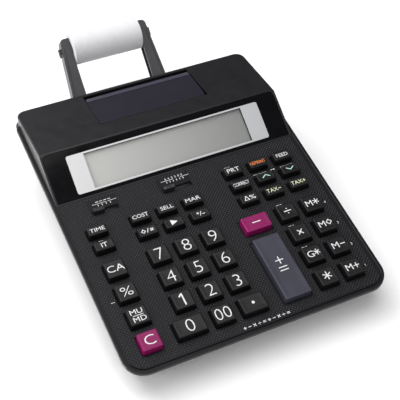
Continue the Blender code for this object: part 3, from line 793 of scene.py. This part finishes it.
def bay_cutter():
    """The printer's opening and the finger notch beside it."""
    front, rear = BAY_ENDS
    left, right = PRINTER_X - BAY_HALF_WIDTH, PRINTER_X + BAY_HALF_WIDTH
    bay = block("bay", (left, front, -8), (right, rear, 3))
    bevel(bay, 2.0, 4, upright(y=front))
    notch = block("notch", (right - 2, front, -8), (right + NOTCH_WIDTH, front + NOTCH_LENGTH, 3))
    # The notch narrows to a sliver at its rear end.
    pick_edges(notch, lambda a, b: a.y > front + 20 and a.x > right and close(a.x, b.x))
    bpy.ops.transform.translate(value=(0.3 - NOTCH_WIDTH, 0, 0))
    leave()
    bevel(notch, 1.6, 5, upright(y=front))
    combine(bay, notch, "UNION")
    bay.data.transform(DECK.inverted() @ REAR_DECK)
    return bay


def deck_marks():
    """Small print between the keys. Gives the areas it takes up on the deck."""
    def key_place(name):
        low, high = node_box(name, DECK)
        return (low.x + high.x) / 2, (low.y + high.y) / 2, high.x - KEY_FLANGE, high.y - KEY_FLANGE

    thin = 0.35
    kinds = ("plus", "minus", "times", "divide", "equals") * 2
    groups = [([(kind, 2.2, i * 3.6, 0, 0.45) for i, kind in enumerate(kinds)], -13.6, 5.9)]
    for name in ("key_divide", "key_multiply", "key_grand_total", "key_print"):
        x, _y, _right, rear = key_place(name)
        groups.append(([("dash", 2.4, -2.4, 0, thin), ("dash", 1.3, 0.2, 0, thin)], x, rear + 2.6))
    for count, kind in enumerate(("total", "subtotal", "minus", "plus")):
        _x, y, right, _rear = key_place("key_memory_" + kind)
        groups.append(([(str(4 - count), 2.0, 0, 0, 1.1)], right + 4.2, y))
    x, _y, _right, rear = key_place("key_item")
    groups.append(([("dash", 3.4, 0, 0, thin)], x, rear + 2.4))
    x, y, _right, _rear = key_place("key_percent")
    groups.append(([("dash", 2.6, -10.6, -2.4, thin)], x, y))
    left, _y, _right, rear = key_place("key_check_up")
    right = key_place("key_check_down")[0]
    reach = (right - left) / 2 + 1
    lines = [("dash", 10.5, -reach, 0, thin), ("dash", 10.5, reach, 0, thin)]
    letters = [("dash", 1.3, -1.6, 0, 0.9), ("dash", 1.3, 0.4, 0, 0.9)]
    groups.append(([lines[0], *letters, lines[1]], (left + right) / 2, rear + 2.4))
    areas = []
    for count, (items, x, y) in enumerate(groups):
        marks = printed(items, x, y, PRINT_HEIGHTS)
        marks.name = f"deck_marks_{count}"
        across = [point.co.x for point in marks.data.vertices]
        along = [point.co.y for point in marks.data.vertices]
        areas.append((min(across) - 0.5, max(across) + 0.5, min(along) - 0.5, max(along) + 0.5))
        settle(marks, DECK, "case", WHITE_INK)
    return areas


DOT_PITCH = 2.5
DOT_START = (-92.5, 5.2)
DOT_AREA = (184.4, 136.2)
DOT_MARGIN = 4.2


def deck_texture(marked):
    """Rows of fine raised points over the key deck, clear of everything that comes through it."""
    deselect()
    bpy.ops.mesh.primitive_cone_add(vertices=6, radius1=0.54, radius2=0.28, depth=0.34,
                                    location=(*DOT_START, 0.10))
    points = named("deck_texture")
    apply_place()
    between = copy_of(points, "between", (DOT_PITCH / 2, DOT_PITCH / 2, 0))
    points = join([points, between], "deck_texture")
    columns, rows = (int(size / DOT_PITCH) + 1 for size in DOT_AREA)
    for count, step in ((columns, (DOT_PITCH, 0, 0)), (rows, (0, DOT_PITCH, 0))):
        repeat(points, count, step)
    clear = list(marked)
    for name in key_names():
        low, high = node_box(name, DECK)
        clear.append((low.x + 0.2, high.x - 0.2, low.y + 0.2, high.y - 0.2))
    for left, right in SLOTS:
        clear.append((left - 1.5, right + 1.5, SLOT_FRONT - 1.2, SLOT_FRONT + SLOT_WIDTH + 9))

    def covered(x, y):
        corner = FRONT_RADIUS - DOT_MARGIN
        near_x, near_y = HALF_WIDTH - DOT_MARGIN - abs(x), y - DOT_MARGIN
        if near_x < corner and near_y < corner and math.hypot(corner - near_x, corner - near_y) > corner:
            return True
        return any(left < x < right and front < y < rear for left, right, front, rear in clear)

    # A point's faces go together, so each is judged by its own grid place.
    def hidden(middle, normal):
        half = DOT_PITCH / 2
        x, y = (round((place - start) / half) * half + start for place, start in zip(middle, DOT_START))
        return normal.z < -0.5 or covered(x, y)

    pick_faces(points, hidden)
    bpy.ops.mesh.delete(type="FACE")
    leave()
    # The points' lighter finish is a painted glint.
    return settle(points, DECK, "case", POINTS_PAINTED_GLINT, smooth=80)


# ---------------------------------------------------------------- keys

DISH = 0.14
KEY_DEPTH = 12.85
FLANGE_LOW = -3.4
FLANGE_HIGH = -2.4


def key_cap(name, width, depth, height=5.0):
    """A cap about the middle of its well: flange, drafted sides, rounded shoulders, dished top."""
    reach = KEY_DRAFT + KEY_FLANGE
    half_x, half_y = width / 2 + reach, depth / 2 + reach
    cap = block(name, (-half_x, -half_y, FLANGE_LOW), (half_x, half_y, FLANGE_HIGH))
    pick_faces(cap, lambda middle, normal: normal.z > 0.9)
    bpy.ops.mesh.inset(thickness=KEY_FLANGE, depth=0)
    bpy.ops.mesh.extrude_region_move(TRANSFORM_OT_translate={"value": (0, 0, height - FLANGE_HIGH)})
    bpy.ops.transform.resize(value=(width / (width + 2 * KEY_DRAFT), depth / (depth + 2 * KEY_DRAFT), 1))
    leave()
    bevel(cap, 1.1, 4, lambda a, b: abs(a.z - b.z) > 2 and abs(a.x - b.x) < 1)
    bevel(cap, 0.75, 4, flat_at(height))
    pick_faces(cap, lambda middle, normal: normal.z > 0.99 and middle.z > height - 0.05)
    for share, drop in ((0.08, 0.2), (0.10, 0.45), (0.12, 0.35)):
        inwards = share * min(KEY_DEPTH, depth)
        size_x, size_y = width - 2 * inwards, depth - 2 * inwards
        bpy.ops.mesh.extrude_region_move()
        bpy.ops.transform.resize(value=(size_x / width, size_y / depth, 1))
        bpy.ops.transform.translate(value=(0, 0, -DISH * drop))
        width, depth = size_x, size_y
    leave()
    return cap


# What is printed on each key, as printed() takes it; a key that isn't here has its digit
DIGIT = (9.6, 1.06)
MEMORY = ("M", 5.0, -2.6, 0, 1.1)
LEGENDS = {
    "key_time": [("TIME", 3.0, 0, 0, 1.2)],
    "key_item": [("IT", 3.6, 0, 0, 1.1)],
    "key_all_clear": [("CA", 5.2, 0, 0, 1.25)],
    "key_percent": [("%", 7.2, 0, 0, 1.3)],
    "key_mark_up": [("MU", 3.7, -0.3, 2.9, 1.2), ("dash", 7.4, 0, 0, 0.45),
                    ("MD", 3.7, 0.3, -2.9, 1.2)],
    "key_clear": [("C", 7.2, 0, 0, 1.18)],
    "key_cost": [("COST", 3.1, 0, 0, 1.05)],
    "key_sell": [("SELL", 3.1, 0, 0, 1.15)],
    "key_margin": [("MAR", 3.2, 0, 0, 1.25)],
    "key_subtotal": [("diamond", 2.9, -3.2, 0, 0.5), ("slash", 3.2, 0, 0, 0.5),
                     ("hash", 2.8, 3.0, 0, 0.42)],
    "key_shift_right": [("▶", 3.4, 0, 0, 1.35)],
    "key_sign": [("plus", 2.1, -1.9, 0.7, 0.5), ("slash", 3.6, 0, 0, 0.45),
                 ("minus", 2.0, 2.1, -0.7, 0.5)],
    "key_print": [("PRT", 3.6, 0, 0, 1.15)],
    "key_reprint": [("REPRINT", 2.9, 0, 0, 0.80)],
    "key_feed": [("FEED", 3.1, 0, 0, 1.0)],
    "key_correct": [("CORRECT", 3.0, 0, 0, 0.66)],
    "key_check_up": [("up", 6.0, 0, 0, 0.6)],
    "key_check_down": [("down", 6.0, 0, 0, 0.6)],
    "key_delta_percent": [("Δ%", 3.7, 0, 0, 1.3)],
    "key_tax_minus": [("TAX", 3.3, -1.6, 0, 0.98), ("minus", 2.3, 4.3, 0, 0.5)],
    "key_tax_plus": [("TAX", 3.3, -1.6, 0, 0.98), ("plus", 2.4, 4.3, 0, 0.45)],
    "key_divide": [("divide", 5.6, 0, 0)],
    "key_multiply": [("times", 4.3, 0, 0)],
    "key_grand_total": [("G", 5.0, -2.3, 0, 1.1), ("star", 4.9, 2.7, 0.3, 0.6)],
    "key_total": [("star", 6.6, 0, 0)],
    "key_memory_total": [MEMORY, ("star", 4.9, 3.0, 0.3, 0.6)],
    "key_memory_subtotal": [MEMORY, ("diamond", 4.0, 3.0, 0.2, 0.62)],
    "key_memory_minus": [MEMORY, ("minus", 3.8, 3.0, 0, 0.62)],
    "key_memory_plus": [MEMORY, ("plus", 4.0, 3.0, 0, 0.62)],
    "key_minus": [("minus", 6.3, 0, 0)],
    "key_plus_equals": [("plus", 6.0, 0, 4.2), ("equals", 6.4, 0, -2.9)],
    "key_point": [("•", 6.8, 0, 0, 0.95)],
    "key_00": [("00", 9.0, 0, 0, 0.96)],
    "key_1": [("one", 9.2, 0, 0, 1.05)],
}
LEGEND_INKS = {
    "key_reprint": ORANGE_INK, "key_check_up": MINT_INK, "key_check_down": MINT_INK,
    "key_tax_minus": PALE_INK, "key_tax_plus": PALE_INK,
}
KEY_FINISHES = {
    "key_clear": (MAGENTA, "key_magenta"), "key_minus": (MAGENTA, "key_magenta"),
    "key_plus_equals": (SLATE, "key_slate"),
}


def keys():
    """Each size of cap is modelled once and copied to the keys that have it."""
    masters = {}
    reach = KEY_DRAFT + KEY_FLANGE
    for name in key_names():
        low, high = node_box(name, DECK)
        size = (round(high.x - low.x - 2 * reach, 2), round(high.y - low.y - 2 * reach, 2))
        if size not in masters:
            masters[size] = key_cap("cap", *size)
        middle = (low + high) / 2
        cap = copy_of(masters[size], name + "_cap", (middle.x, middle.y, 0))
        finish, slot = KEY_FINISHES.get(name, (KEY, "key_black"))
        settle(cap, DECK, name, finish, [name], 40)
        digit = [(name[-1], DIGIT[0], 0, 0, DIGIT[1])]
        legend = printed(LEGENDS.get(name, digit), middle.x, middle.y)
        legend.name = name + "_legend"
        settle(legend, DECK, name, LEGEND_INKS.get(name, WHITE_INK))
    for master in masters.values():
        bpy.data.objects.remove(master, do_unlink=True)


KNOB_INSET = 1.9


def switches():
    """Slide knobs with a ribbed top, and the printed marks behind their slots."""
    for name, first, last, count, y in (
        ("mode_switch_knob", -66.7, -57.5, 4, 133.7),
        ("decimal_switch_knob", -13.2, -0.3, 6, 135.1),
    ):
        low, high = node_box(name, DECK)
        knob = block(name + "_cap", (low.x + KNOB_INSET, low.y + KNOB_INSET, FLANGE_HIGH),
                     (high.x - KNOB_INSET, high.y - KNOB_INSET, high.z))
        bevel(knob, 0.5, 3, upright())
        bevel(knob, 0.5, 3, flat_at(high.z))
        middle = (low.x + high.x) / 2
        ribs = [block("rib", (middle + i * 1.3 - 0.25, low.y, high.z - 0.4),
                      (middle + i * 1.3 + 0.25, high.y, high.z + 1)) for i in (-1, 0, 1)]
        combine(knob, ribs)
        flange = block("flange", (low.x, low.y, FLANGE_LOW), (high.x, high.y, FLANGE_HIGH))
        knob = join([knob, flange], name + "_cap")
        settle(knob, DECK, name, KEY, [name])
        step = (last - first) / (count - 1)
        bottom, top = -0.02, 0.05
        places = [first + i * step for i in range(count)]
        ticks = [block("tick", (x - 0.22, y - 0.8, bottom), (x + 0.22, y + 0.8, top)) for x in places]
        for left, right in ((first - 4, first + 2.2 * step), (last - 1.5, last + 5)):
            ticks.append(block("line", (left, y + 1.4, bottom), (right, y + 1.7, top)))
        if name == "decimal_switch_knob":
            ticks += [lettering(digit, 1.7, x, y + 3.0, 1.1, PRINT_HEIGHTS)
                      for x, digit in zip(places, "64320F")]
        else:
            ticks += [sign("dash", 2.1, x, y + 3.2, 0.45, PRINT_HEIGHTS) for x in places]
        settle(join(ticks, name + "_marks"), DECK, "case", WHITE_INK)


# ---------------------------------------------------------------- display


def display():
    """Glossy panel with its window, the pale border printed round it, and the cell behind."""
    front, rear = PANEL_ENDS
    panel = block("panel", (-PANEL_HALF_WIDTH, front, -PANEL_THICKNESS), (PANEL_HALF_WIDTH, rear, 0))
    bevel(panel, 4.0, 8, upright(y=rear))
    bevel(panel, 1.0, 3, upright(y=front))
    bevel(panel, 0.35, 3, flat_at(0))
    left, right, low, high = WINDOW
    combine(panel, block("window", (left, low, -4), (right, high, 2)))
    settle(panel, DISPLAY, "case", GLOSS, ["display_panel"])

    border_left, border_right, border_low, border_high = BORDER
    border = block("display_border", (border_left, border_low, -0.15), (border_right, border_high, 0.06))
    bevel(border, 1.6, 4, upright())
    combine(border, block("window", (left - 0.05, low - 0.05, -4), (right + 0.05, high + 0.05, 2)))
    settle(border, DISPLAY, "case", BORDER_WHITE)

    cell = block("lcd_cell", *node_box("lcd_module", DISPLAY))
    soften(cell, 0.3)
    settle(cell, DISPLAY, "case", LCD, ["lcd_module"])


# ---------------------------------------------------------------- printer


def printer_cover():
    """Smoked cover, with a cutter along its back that the paper is torn off against; the cutter's paler
    colour is a painted highlight.
    """
    low, high = node_box("printer_cover", REAR_DECK)
    cover = block("printer_lid", (low.x, low.y, -1.8), (high.x, high.y, 0))
    lip = block("lid_lip", (low.x, high.y - 1.8, low.z), (high.x, high.y, -1))
    combine(cover, lip, "UNION")
    bevel(cover, 2.6, 6, upright(y=low.y))
    soften(cover, 0.35, 3)
    settle(cover, REAR_DECK, "printer_cover", SMOKE, ["printer_cover"])
    edge = high.y + CUTTER_OVERHANG
    cutter = block("paper_cutter", (low.x + 0.5, high.y - 2.6, -0.02), (high.x - 0.5, edge, 0.4))
    pick_edges(cutter, lambda a, b: a.y > edge - 0.01 and b.y > edge - 0.01 and a.z > 0.3 and b.z > 0.3)
    bpy.ops.transform.translate(value=(0, -1.4, 0))
    leave()
    soften(cutter, 0.1)
    deselect()
    bpy.ops.mesh.primitive_cone_add(vertices=4, radius1=0.5, depth=0.9, rotation=(-math.pi / 2, 0, 0),
                                    location=(PRINTER_X - (TEETH - 1) / 2, edge + 0.35, 0.05))
    teeth = named("teeth")
    teeth.scale.z = 0.35
    apply_place()
    repeat(teeth, TEETH, (1, 0, 0))
    settle(join([cutter, teeth], "paper_cutter"), REAR_DECK, "printer_cover", SMOKE_EDGE_PAINTED_HIGHLIGHT)


# ---------------------------------------------------------------- holder and roll


def arm(side):
    """One arm: tapered, hollow towards the roll, with a seam along it, a spigot and a catch."""
    inner, base, tip = (side * (ARM_INNER + width) for width in (0, ARM_BASE_WIDTH, ARM_TIP_WIDTH))
    depth = ARM_HALF_DEPTH
    made = block("arm", (min(inner, base), -ARM_BEHIND, -depth), (max(inner, base), ARM_LENGTH, depth))

    def along(x):
        return lambda a, b: min(a.y, b.y) > ARM_LENGTH - 1 and close(a.x, x) and close(b.x, x)

    def across(at_end):
        return lambda a, b: at_end(a.y) and at_end(b.y) and close(a.z, b.z) and abs(a.x - b.x) > 1

    pick_edges(made, along(base))
    bpy.ops.transform.translate(value=(tip - base, 0, 0))
    leave()
    bevel(made, 3.4, 6, along(tip))
    bevel(made, 2.4, 4, across(lambda y: y > ARM_LENGTH - 1))
    bevel(made, 2.0, 4, across(lambda y: y < 0))
    soften(made, 0.5, 3)
    pocket_end = inner + side * ARM_POCKET_DEPTH
    pocket_start, pocket_stop = ARM_POCKET_ENDS
    pocket = block("pocket", (min(inner - side, pocket_end), pocket_start, ARM_POCKET_WALL - depth),
                   (max(inner - side, pocket_end), pocket_stop, depth - ARM_POCKET_WALL))
    soften(pocket, 0.6, 2)
    ribs = [block("rib", (min(inner + side * 1.2, pocket_end + side), y, -depth + 1),
                  (max(inner + side * 1.2, pocket_end + side), y + 1.0, depth - 1)) for y in (20, 34)]
    combine(pocket, ribs)
    combine(made, pocket)
    seam = block("seam", (-0.3, 0, depth - 0.6), (0.3, SEAM_LENGTH, depth + 1))
    seam.rotation_euler.z = math.atan2(base - tip, ARM_BEHIND + ARM_LENGTH)
    seam.location.x = base - side * 2.6
    activate(seam)
    apply_place()
    combine(made, seam)
    spigot = cylinder("spigot", 4.6, (inner - side * 3.2, ARM_TO_ROLL, 0),
                      (inner + side * 0.5, ARM_TO_ROLL, 0), "X", 32)
    soften(spigot, 0.5)
    near, far = tip - side * 1.5, tip + side * 2.8
    catch = block("catch", (min(near, far), 60.8, -1.5), (max(near, far), 65.2, 1.5))
    near = tip + side * 1.4
    combine(catch, block("hook", (min(near, far), 58.4, -1.5), (max(near, far), 62, 1.5)), "UNION")
    soften(catch, 0.3)
    return [made, spigot, catch]


def holder():
    """Two arms on a cross rod."""
    reach = ARM_INNER + ARM_BASE_WIDTH + 6
    rod = cylinder("rod", 2.5, (-reach, 0, 0), (reach, 0, 0), "X", 24)
    soften(rod, 0.4)
    made = join([rod, *arm(-1), *arm(1)], "holder")
    settle(made, HOLDER, "paper_holder", ARM, ["paper_holder"])


def roll():
    """Till roll: a wound body, its ends with the edges of the turns, and a board core."""
    half = ROLL_LENGTH / 2

    def about_axis(name, radius, end, sides=48):
        return cylinder(name, radius, (-end, ARM_TO_ROLL, 0), (end, ARM_TO_ROLL, 0), "X", sides)

    def on_rim(point):
        off_axis = math.hypot(point.y - ARM_TO_ROLL, point.z)
        return close(abs(point.x), half) and abs(off_axis - ROLL_RADIUS) < 0.05

    body = about_axis("roll_body", ROLL_RADIUS, half, 96)
    pick_faces(body, lambda middle, normal: abs(normal.x) > 0.9)
    bpy.ops.mesh.inset(thickness=0.35, depth=0, use_individual=True)
    leave()
    combine(body, about_axis("bore", CORE_RADIUS + 0.9, half + 1))
    bevel(body, 0.3, 2, lambda a, b: on_rim(a) and on_rim(b))
    settle(body, HOLDER, "paper_roll", PAPER, ["paper_roll"])
    second_finish(body, PAPER_ENDS, lambda middle, normal: abs(normal.x) > 0.9)
    core = about_axis("roll_core", CORE_RADIUS + 0.85, half - 0.3)
    combine(core, about_axis("bore", CORE_RADIUS, half + 1))
    settle(core, HOLDER, "paper_roll", BOARD_CORE)


# ---------------------------------------------------------------- underside and inside


def merged_copy(node, name):
    """A copy of a frame node with its loose triangles merged and its flat faces made whole."""
    activate(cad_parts[node])
    bpy.ops.object.duplicate(linked=False)
    piece = named(name)
    for key in list(piece.keys()):
        del piece[key]
    piece.parent = None
    piece.matrix_world = Matrix()
    enter()
    bpy.ops.mesh.select_mode(type="VERT")
    bpy.ops.mesh.select_all(action="SELECT")
    bpy.ops.mesh.remove_doubles(threshold=0.00002)
    bpy.ops.mesh.dissolve_limited(angle_limit=math.radians(1.0))
    leave()
    piece.data.transform(BASE.inverted())
    return piece


FLOOR_HEIGHT = 3.0
FLOOR_EDGE = 78.5
FLOOR_ENDS = (20, 226)
FOOT_PLACES = ((-70.0, 30.0), (70.0, 30.0), (-64.0, 216.0), (64.0, 216.0))
PAD_RADIUS = 5.4
PAD_HEIGHT = 0.8
SCREW_PLACES = ((-40, 22), (40, 22), (-86, 122), (86, 122), (-30, 212), (30, 212))
SCREW_RADIUS = 2.6
PLATE = (14.0, 74.0, 146.0, 178.0)


def on_floor_edge(point):
    outside = abs(point.x) > FLOOR_EDGE or point.y < FLOOR_ENDS[0] or point.y > FLOOR_ENDS[1]
    return close(point.z, FLOOR_HEIGHT) and outside


def case_bottom():
    """Lower shell, with sunk screws, pads let into its feet and a blank plate."""
    bottom = merged_copy("lower_case", "case_bottom")
    bevel(bottom, 1.2, 3, lambda a, b: on_floor_edge(a) and on_floor_edge(b))
    holes = [cylinder("hole", PAD_RADIUS + 0.2, (x, y, -1), (x, y, PAD_HEIGHT), sides=40)
             for x, y in FOOT_PLACES]
    holes += [cylinder("hole", SCREW_RADIUS + 0.6, (x, y, FLOOR_HEIGHT - 1), (x, y, FLOOR_HEIGHT + 1.2))
              for x, y in SCREW_PLACES]
    combine(bottom, holes)
    settle(bottom, BASE, "case", BASE_PLASTIC, ["lower_case"])
    # The base's side walls take the light grey of the painted reflection.
    second_finish(bottom, SIDES_PAINTED_REFLECTION, lambda middle, normal: abs(normal.x) > 0.8 and abs(middle.x) > 90 * MM)

    pads = []
    for x, y in FOOT_PLACES:
        pad = cylinder("pad", PAD_RADIUS, (x, y, 0.02), (x, y, PAD_HEIGHT), sides=40)
        pick_faces(pad, lambda middle, normal: normal.z < -0.9)
        bpy.ops.mesh.inset(thickness=1.2, depth=0)
        bpy.ops.mesh.inset(thickness=0.4, depth=-0.15)
        leave()
        soften(pad, 0.2)
        pads.append(pad)
    settle(join(pads, "foot_pads"), BASE, "case", DARK_RUBBER)
    screws()

    left, right, front, rear = PLATE
    plate = block("blank_plate", (left, front, FLOOR_HEIGHT - 0.3), (right, rear, FLOOR_HEIGHT + 0.1))
    bevel(plate, 1.5, 4, upright())
    bevel(plate, 0.1, 1, flat_at(FLOOR_HEIGHT - 0.3))
    settle(plate, BASE, "case", STEEL)


def screws():
    """Cross-head screws, sunk in the underside."""
    low, high = FLOOR_HEIGHT + 0.1, FLOOR_HEIGHT + 1.3
    made = []
    for x, y in SCREW_PLACES:
        head = cylinder("head", SCREW_RADIUS, (x, y, low), (x, y, high), sides=24)
        bevel(head, 0.3, 2, flat_at(low))
        arms = [block("cross", (x - across, y - along, low - 1), (x + across, y + along, low + 0.7))
                for across, along in ((1.5, 0.3), (0.3, 1.5))]
        made.append(combine(head, combine(arms[0], arms[1], "UNION")))
    settle(join(made, "screws"), BASE, "case", STEEL)


def battery_door_details():
    """Thumb ribs on the battery door."""
    low, high = node_box("battery_door", BASE)
    middle = (low.x + high.x) / 2
    places = [high.y - 6 - i * 2.2 for i in range(5)]
    ribs = [block("rib", (middle - 11, y, low.z - 0.5), (middle + 11, y + 1, low.z + 0.2)) for y in places]
    ribs = join(ribs, "door_ribs")
    soften(ribs, 0.2, 2)
    settle(ribs, BASE, "battery_door", BASE_PLASTIC)


PIN_X = -66
PIN_HEIGHT = 22
PIN_ENDS = (219.5, 227.5)


def jack_pin():
    """The pin in the power socket, rounded at its free end."""
    start, end = PIN_ENDS
    pin = cylinder("jack_pin", 0.8, (PIN_X, start, PIN_HEIGHT), (PIN_X, end, PIN_HEIGHT), "Y", 20)
    bevel(pin, 0.4, 3, lambda a, b: min(a.y, b.y) > end - 0.1)
    settle(pin, BASE, "case", STEEL)


def other_nodes():
    """These are shown as they are in the frame, with their finish."""
    finishes = {
        "main_board": BOARD, "key_sheet": GREY_RUBBER, "printer_frame": FRAME_PLASTIC,
        "feed_roller": DARK_RUBBER, "ink_roller": FELT, "print_drum": STEEL,
        "battery_door": BASE_PLASTIC, "dc_jack": SATIN,
    }
    for name, finish in finishes.items():
        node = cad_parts[name]
        node.data.materials.clear()
        node.data.materials.append(finish)


# ---------------------------------------------------------------- stage


# Name, place, size and power of each lamp, and what they all point at
LAMPS = (
    ("key_light", (-0.45, 0.75, 1.05), 1.0, 13.0),
    ("top_light", (0.2, 0.1, 1.5), 1.0, 7.5),
    ("left_light", (-1.1, -0.2, 0.5), 0.7, 4.0),
    ("front_light", (0.7, -1.0, 0.9), 1.2, 5.0),
)
LAMP_AIM = Vector((0, 0, 0.03))

# The sky, brightest to the left: two places along X, and its strength at each
SKY = ((-0.1, 0.70), (0.5, 0.05))

# The view, its places in mm from the middle of the front edge
CAMERA_LENS = 88.87
CAMERA_PLACE = Vector((-219.6, -328.0, 545.7))
CAMERA_TARGET = Vector((2.74, 111.0, 37.8))
CAMERA_ROLL = 2.26


def stage():
    """Floor, sky and lamps."""
    deselect()
    bpy.ops.mesh.primitive_plane_add(size=12, location=(0, 0, 0))
    floor = named("floor")
    finish = Finish("floor_finish", (0.93, 0.93, 0.93), 0.9)
    floor.data.materials.append(finish.material)

    world = bpy.data.worlds.new("studio")
    bpy.context.scene.world = world
    world.use_nodes = True
    nodes, links = world.node_tree.nodes, world.node_tree.links
    parts = nodes.new("ShaderNodeSeparateXYZ")
    links.new(nodes.new("ShaderNodeTexCoord").outputs["Generated"], parts.inputs["Vector"])
    fade = nodes.new("ShaderNodeMapRange")
    for end, (place, strength) in zip(("Min", "Max"), SKY):
        fade.inputs["From " + end].default_value = place
        fade.inputs["To " + end].default_value = strength
    links.new(parts.outputs["X"], fade.inputs["Value"])
    background = nodes["Background"]
    background.inputs["Color"].default_value = (1, 1, 1, 1)
    links.new(fade.outputs["Result"], background.inputs["Strength"])

    for name, place, size, power in LAMPS:
        light = bpy.data.lights.new(name, "AREA")
        light.size = size
        light.energy = power
        lamp = bpy.data.objects.new(name, light)
        lamp.location = place
        lamp.rotation_euler = (LAMP_AIM - lamp.location).to_track_quat("-Z", "Y").to_euler()
        bpy.context.scene.collection.objects.link(lamp)


def camera():
    lens = bpy.data.cameras.new("camera")
    lens.lens = CAMERA_LENS
    lens.sensor_width = 36.0
    lens.clip_start = 0.01
    seer = bpy.data.objects.new("camera", lens)
    place = BASE @ CAMERA_PLACE
    look = (BASE @ CAMERA_TARGET - place).to_track_quat("-Z", "Y").to_matrix().to_4x4()
    roll_turn = Matrix.Rotation(math.radians(CAMERA_ROLL), 4, "Z")
    seer.matrix_world = Matrix.Translation(place) @ look @ roll_turn
    bpy.context.scene.collection.objects.link(seer)
    bpy.context.scene.camera = seer
    bpy.context.scene.view_settings.view_transform = "Standard"


camera()
case_top()
deck_texture(deck_marks())
keys()
switches()
display()
printer_cover()
holder()
roll()
case_bottom()
battery_door_details()
jack_pin()
other_nodes()
stage()
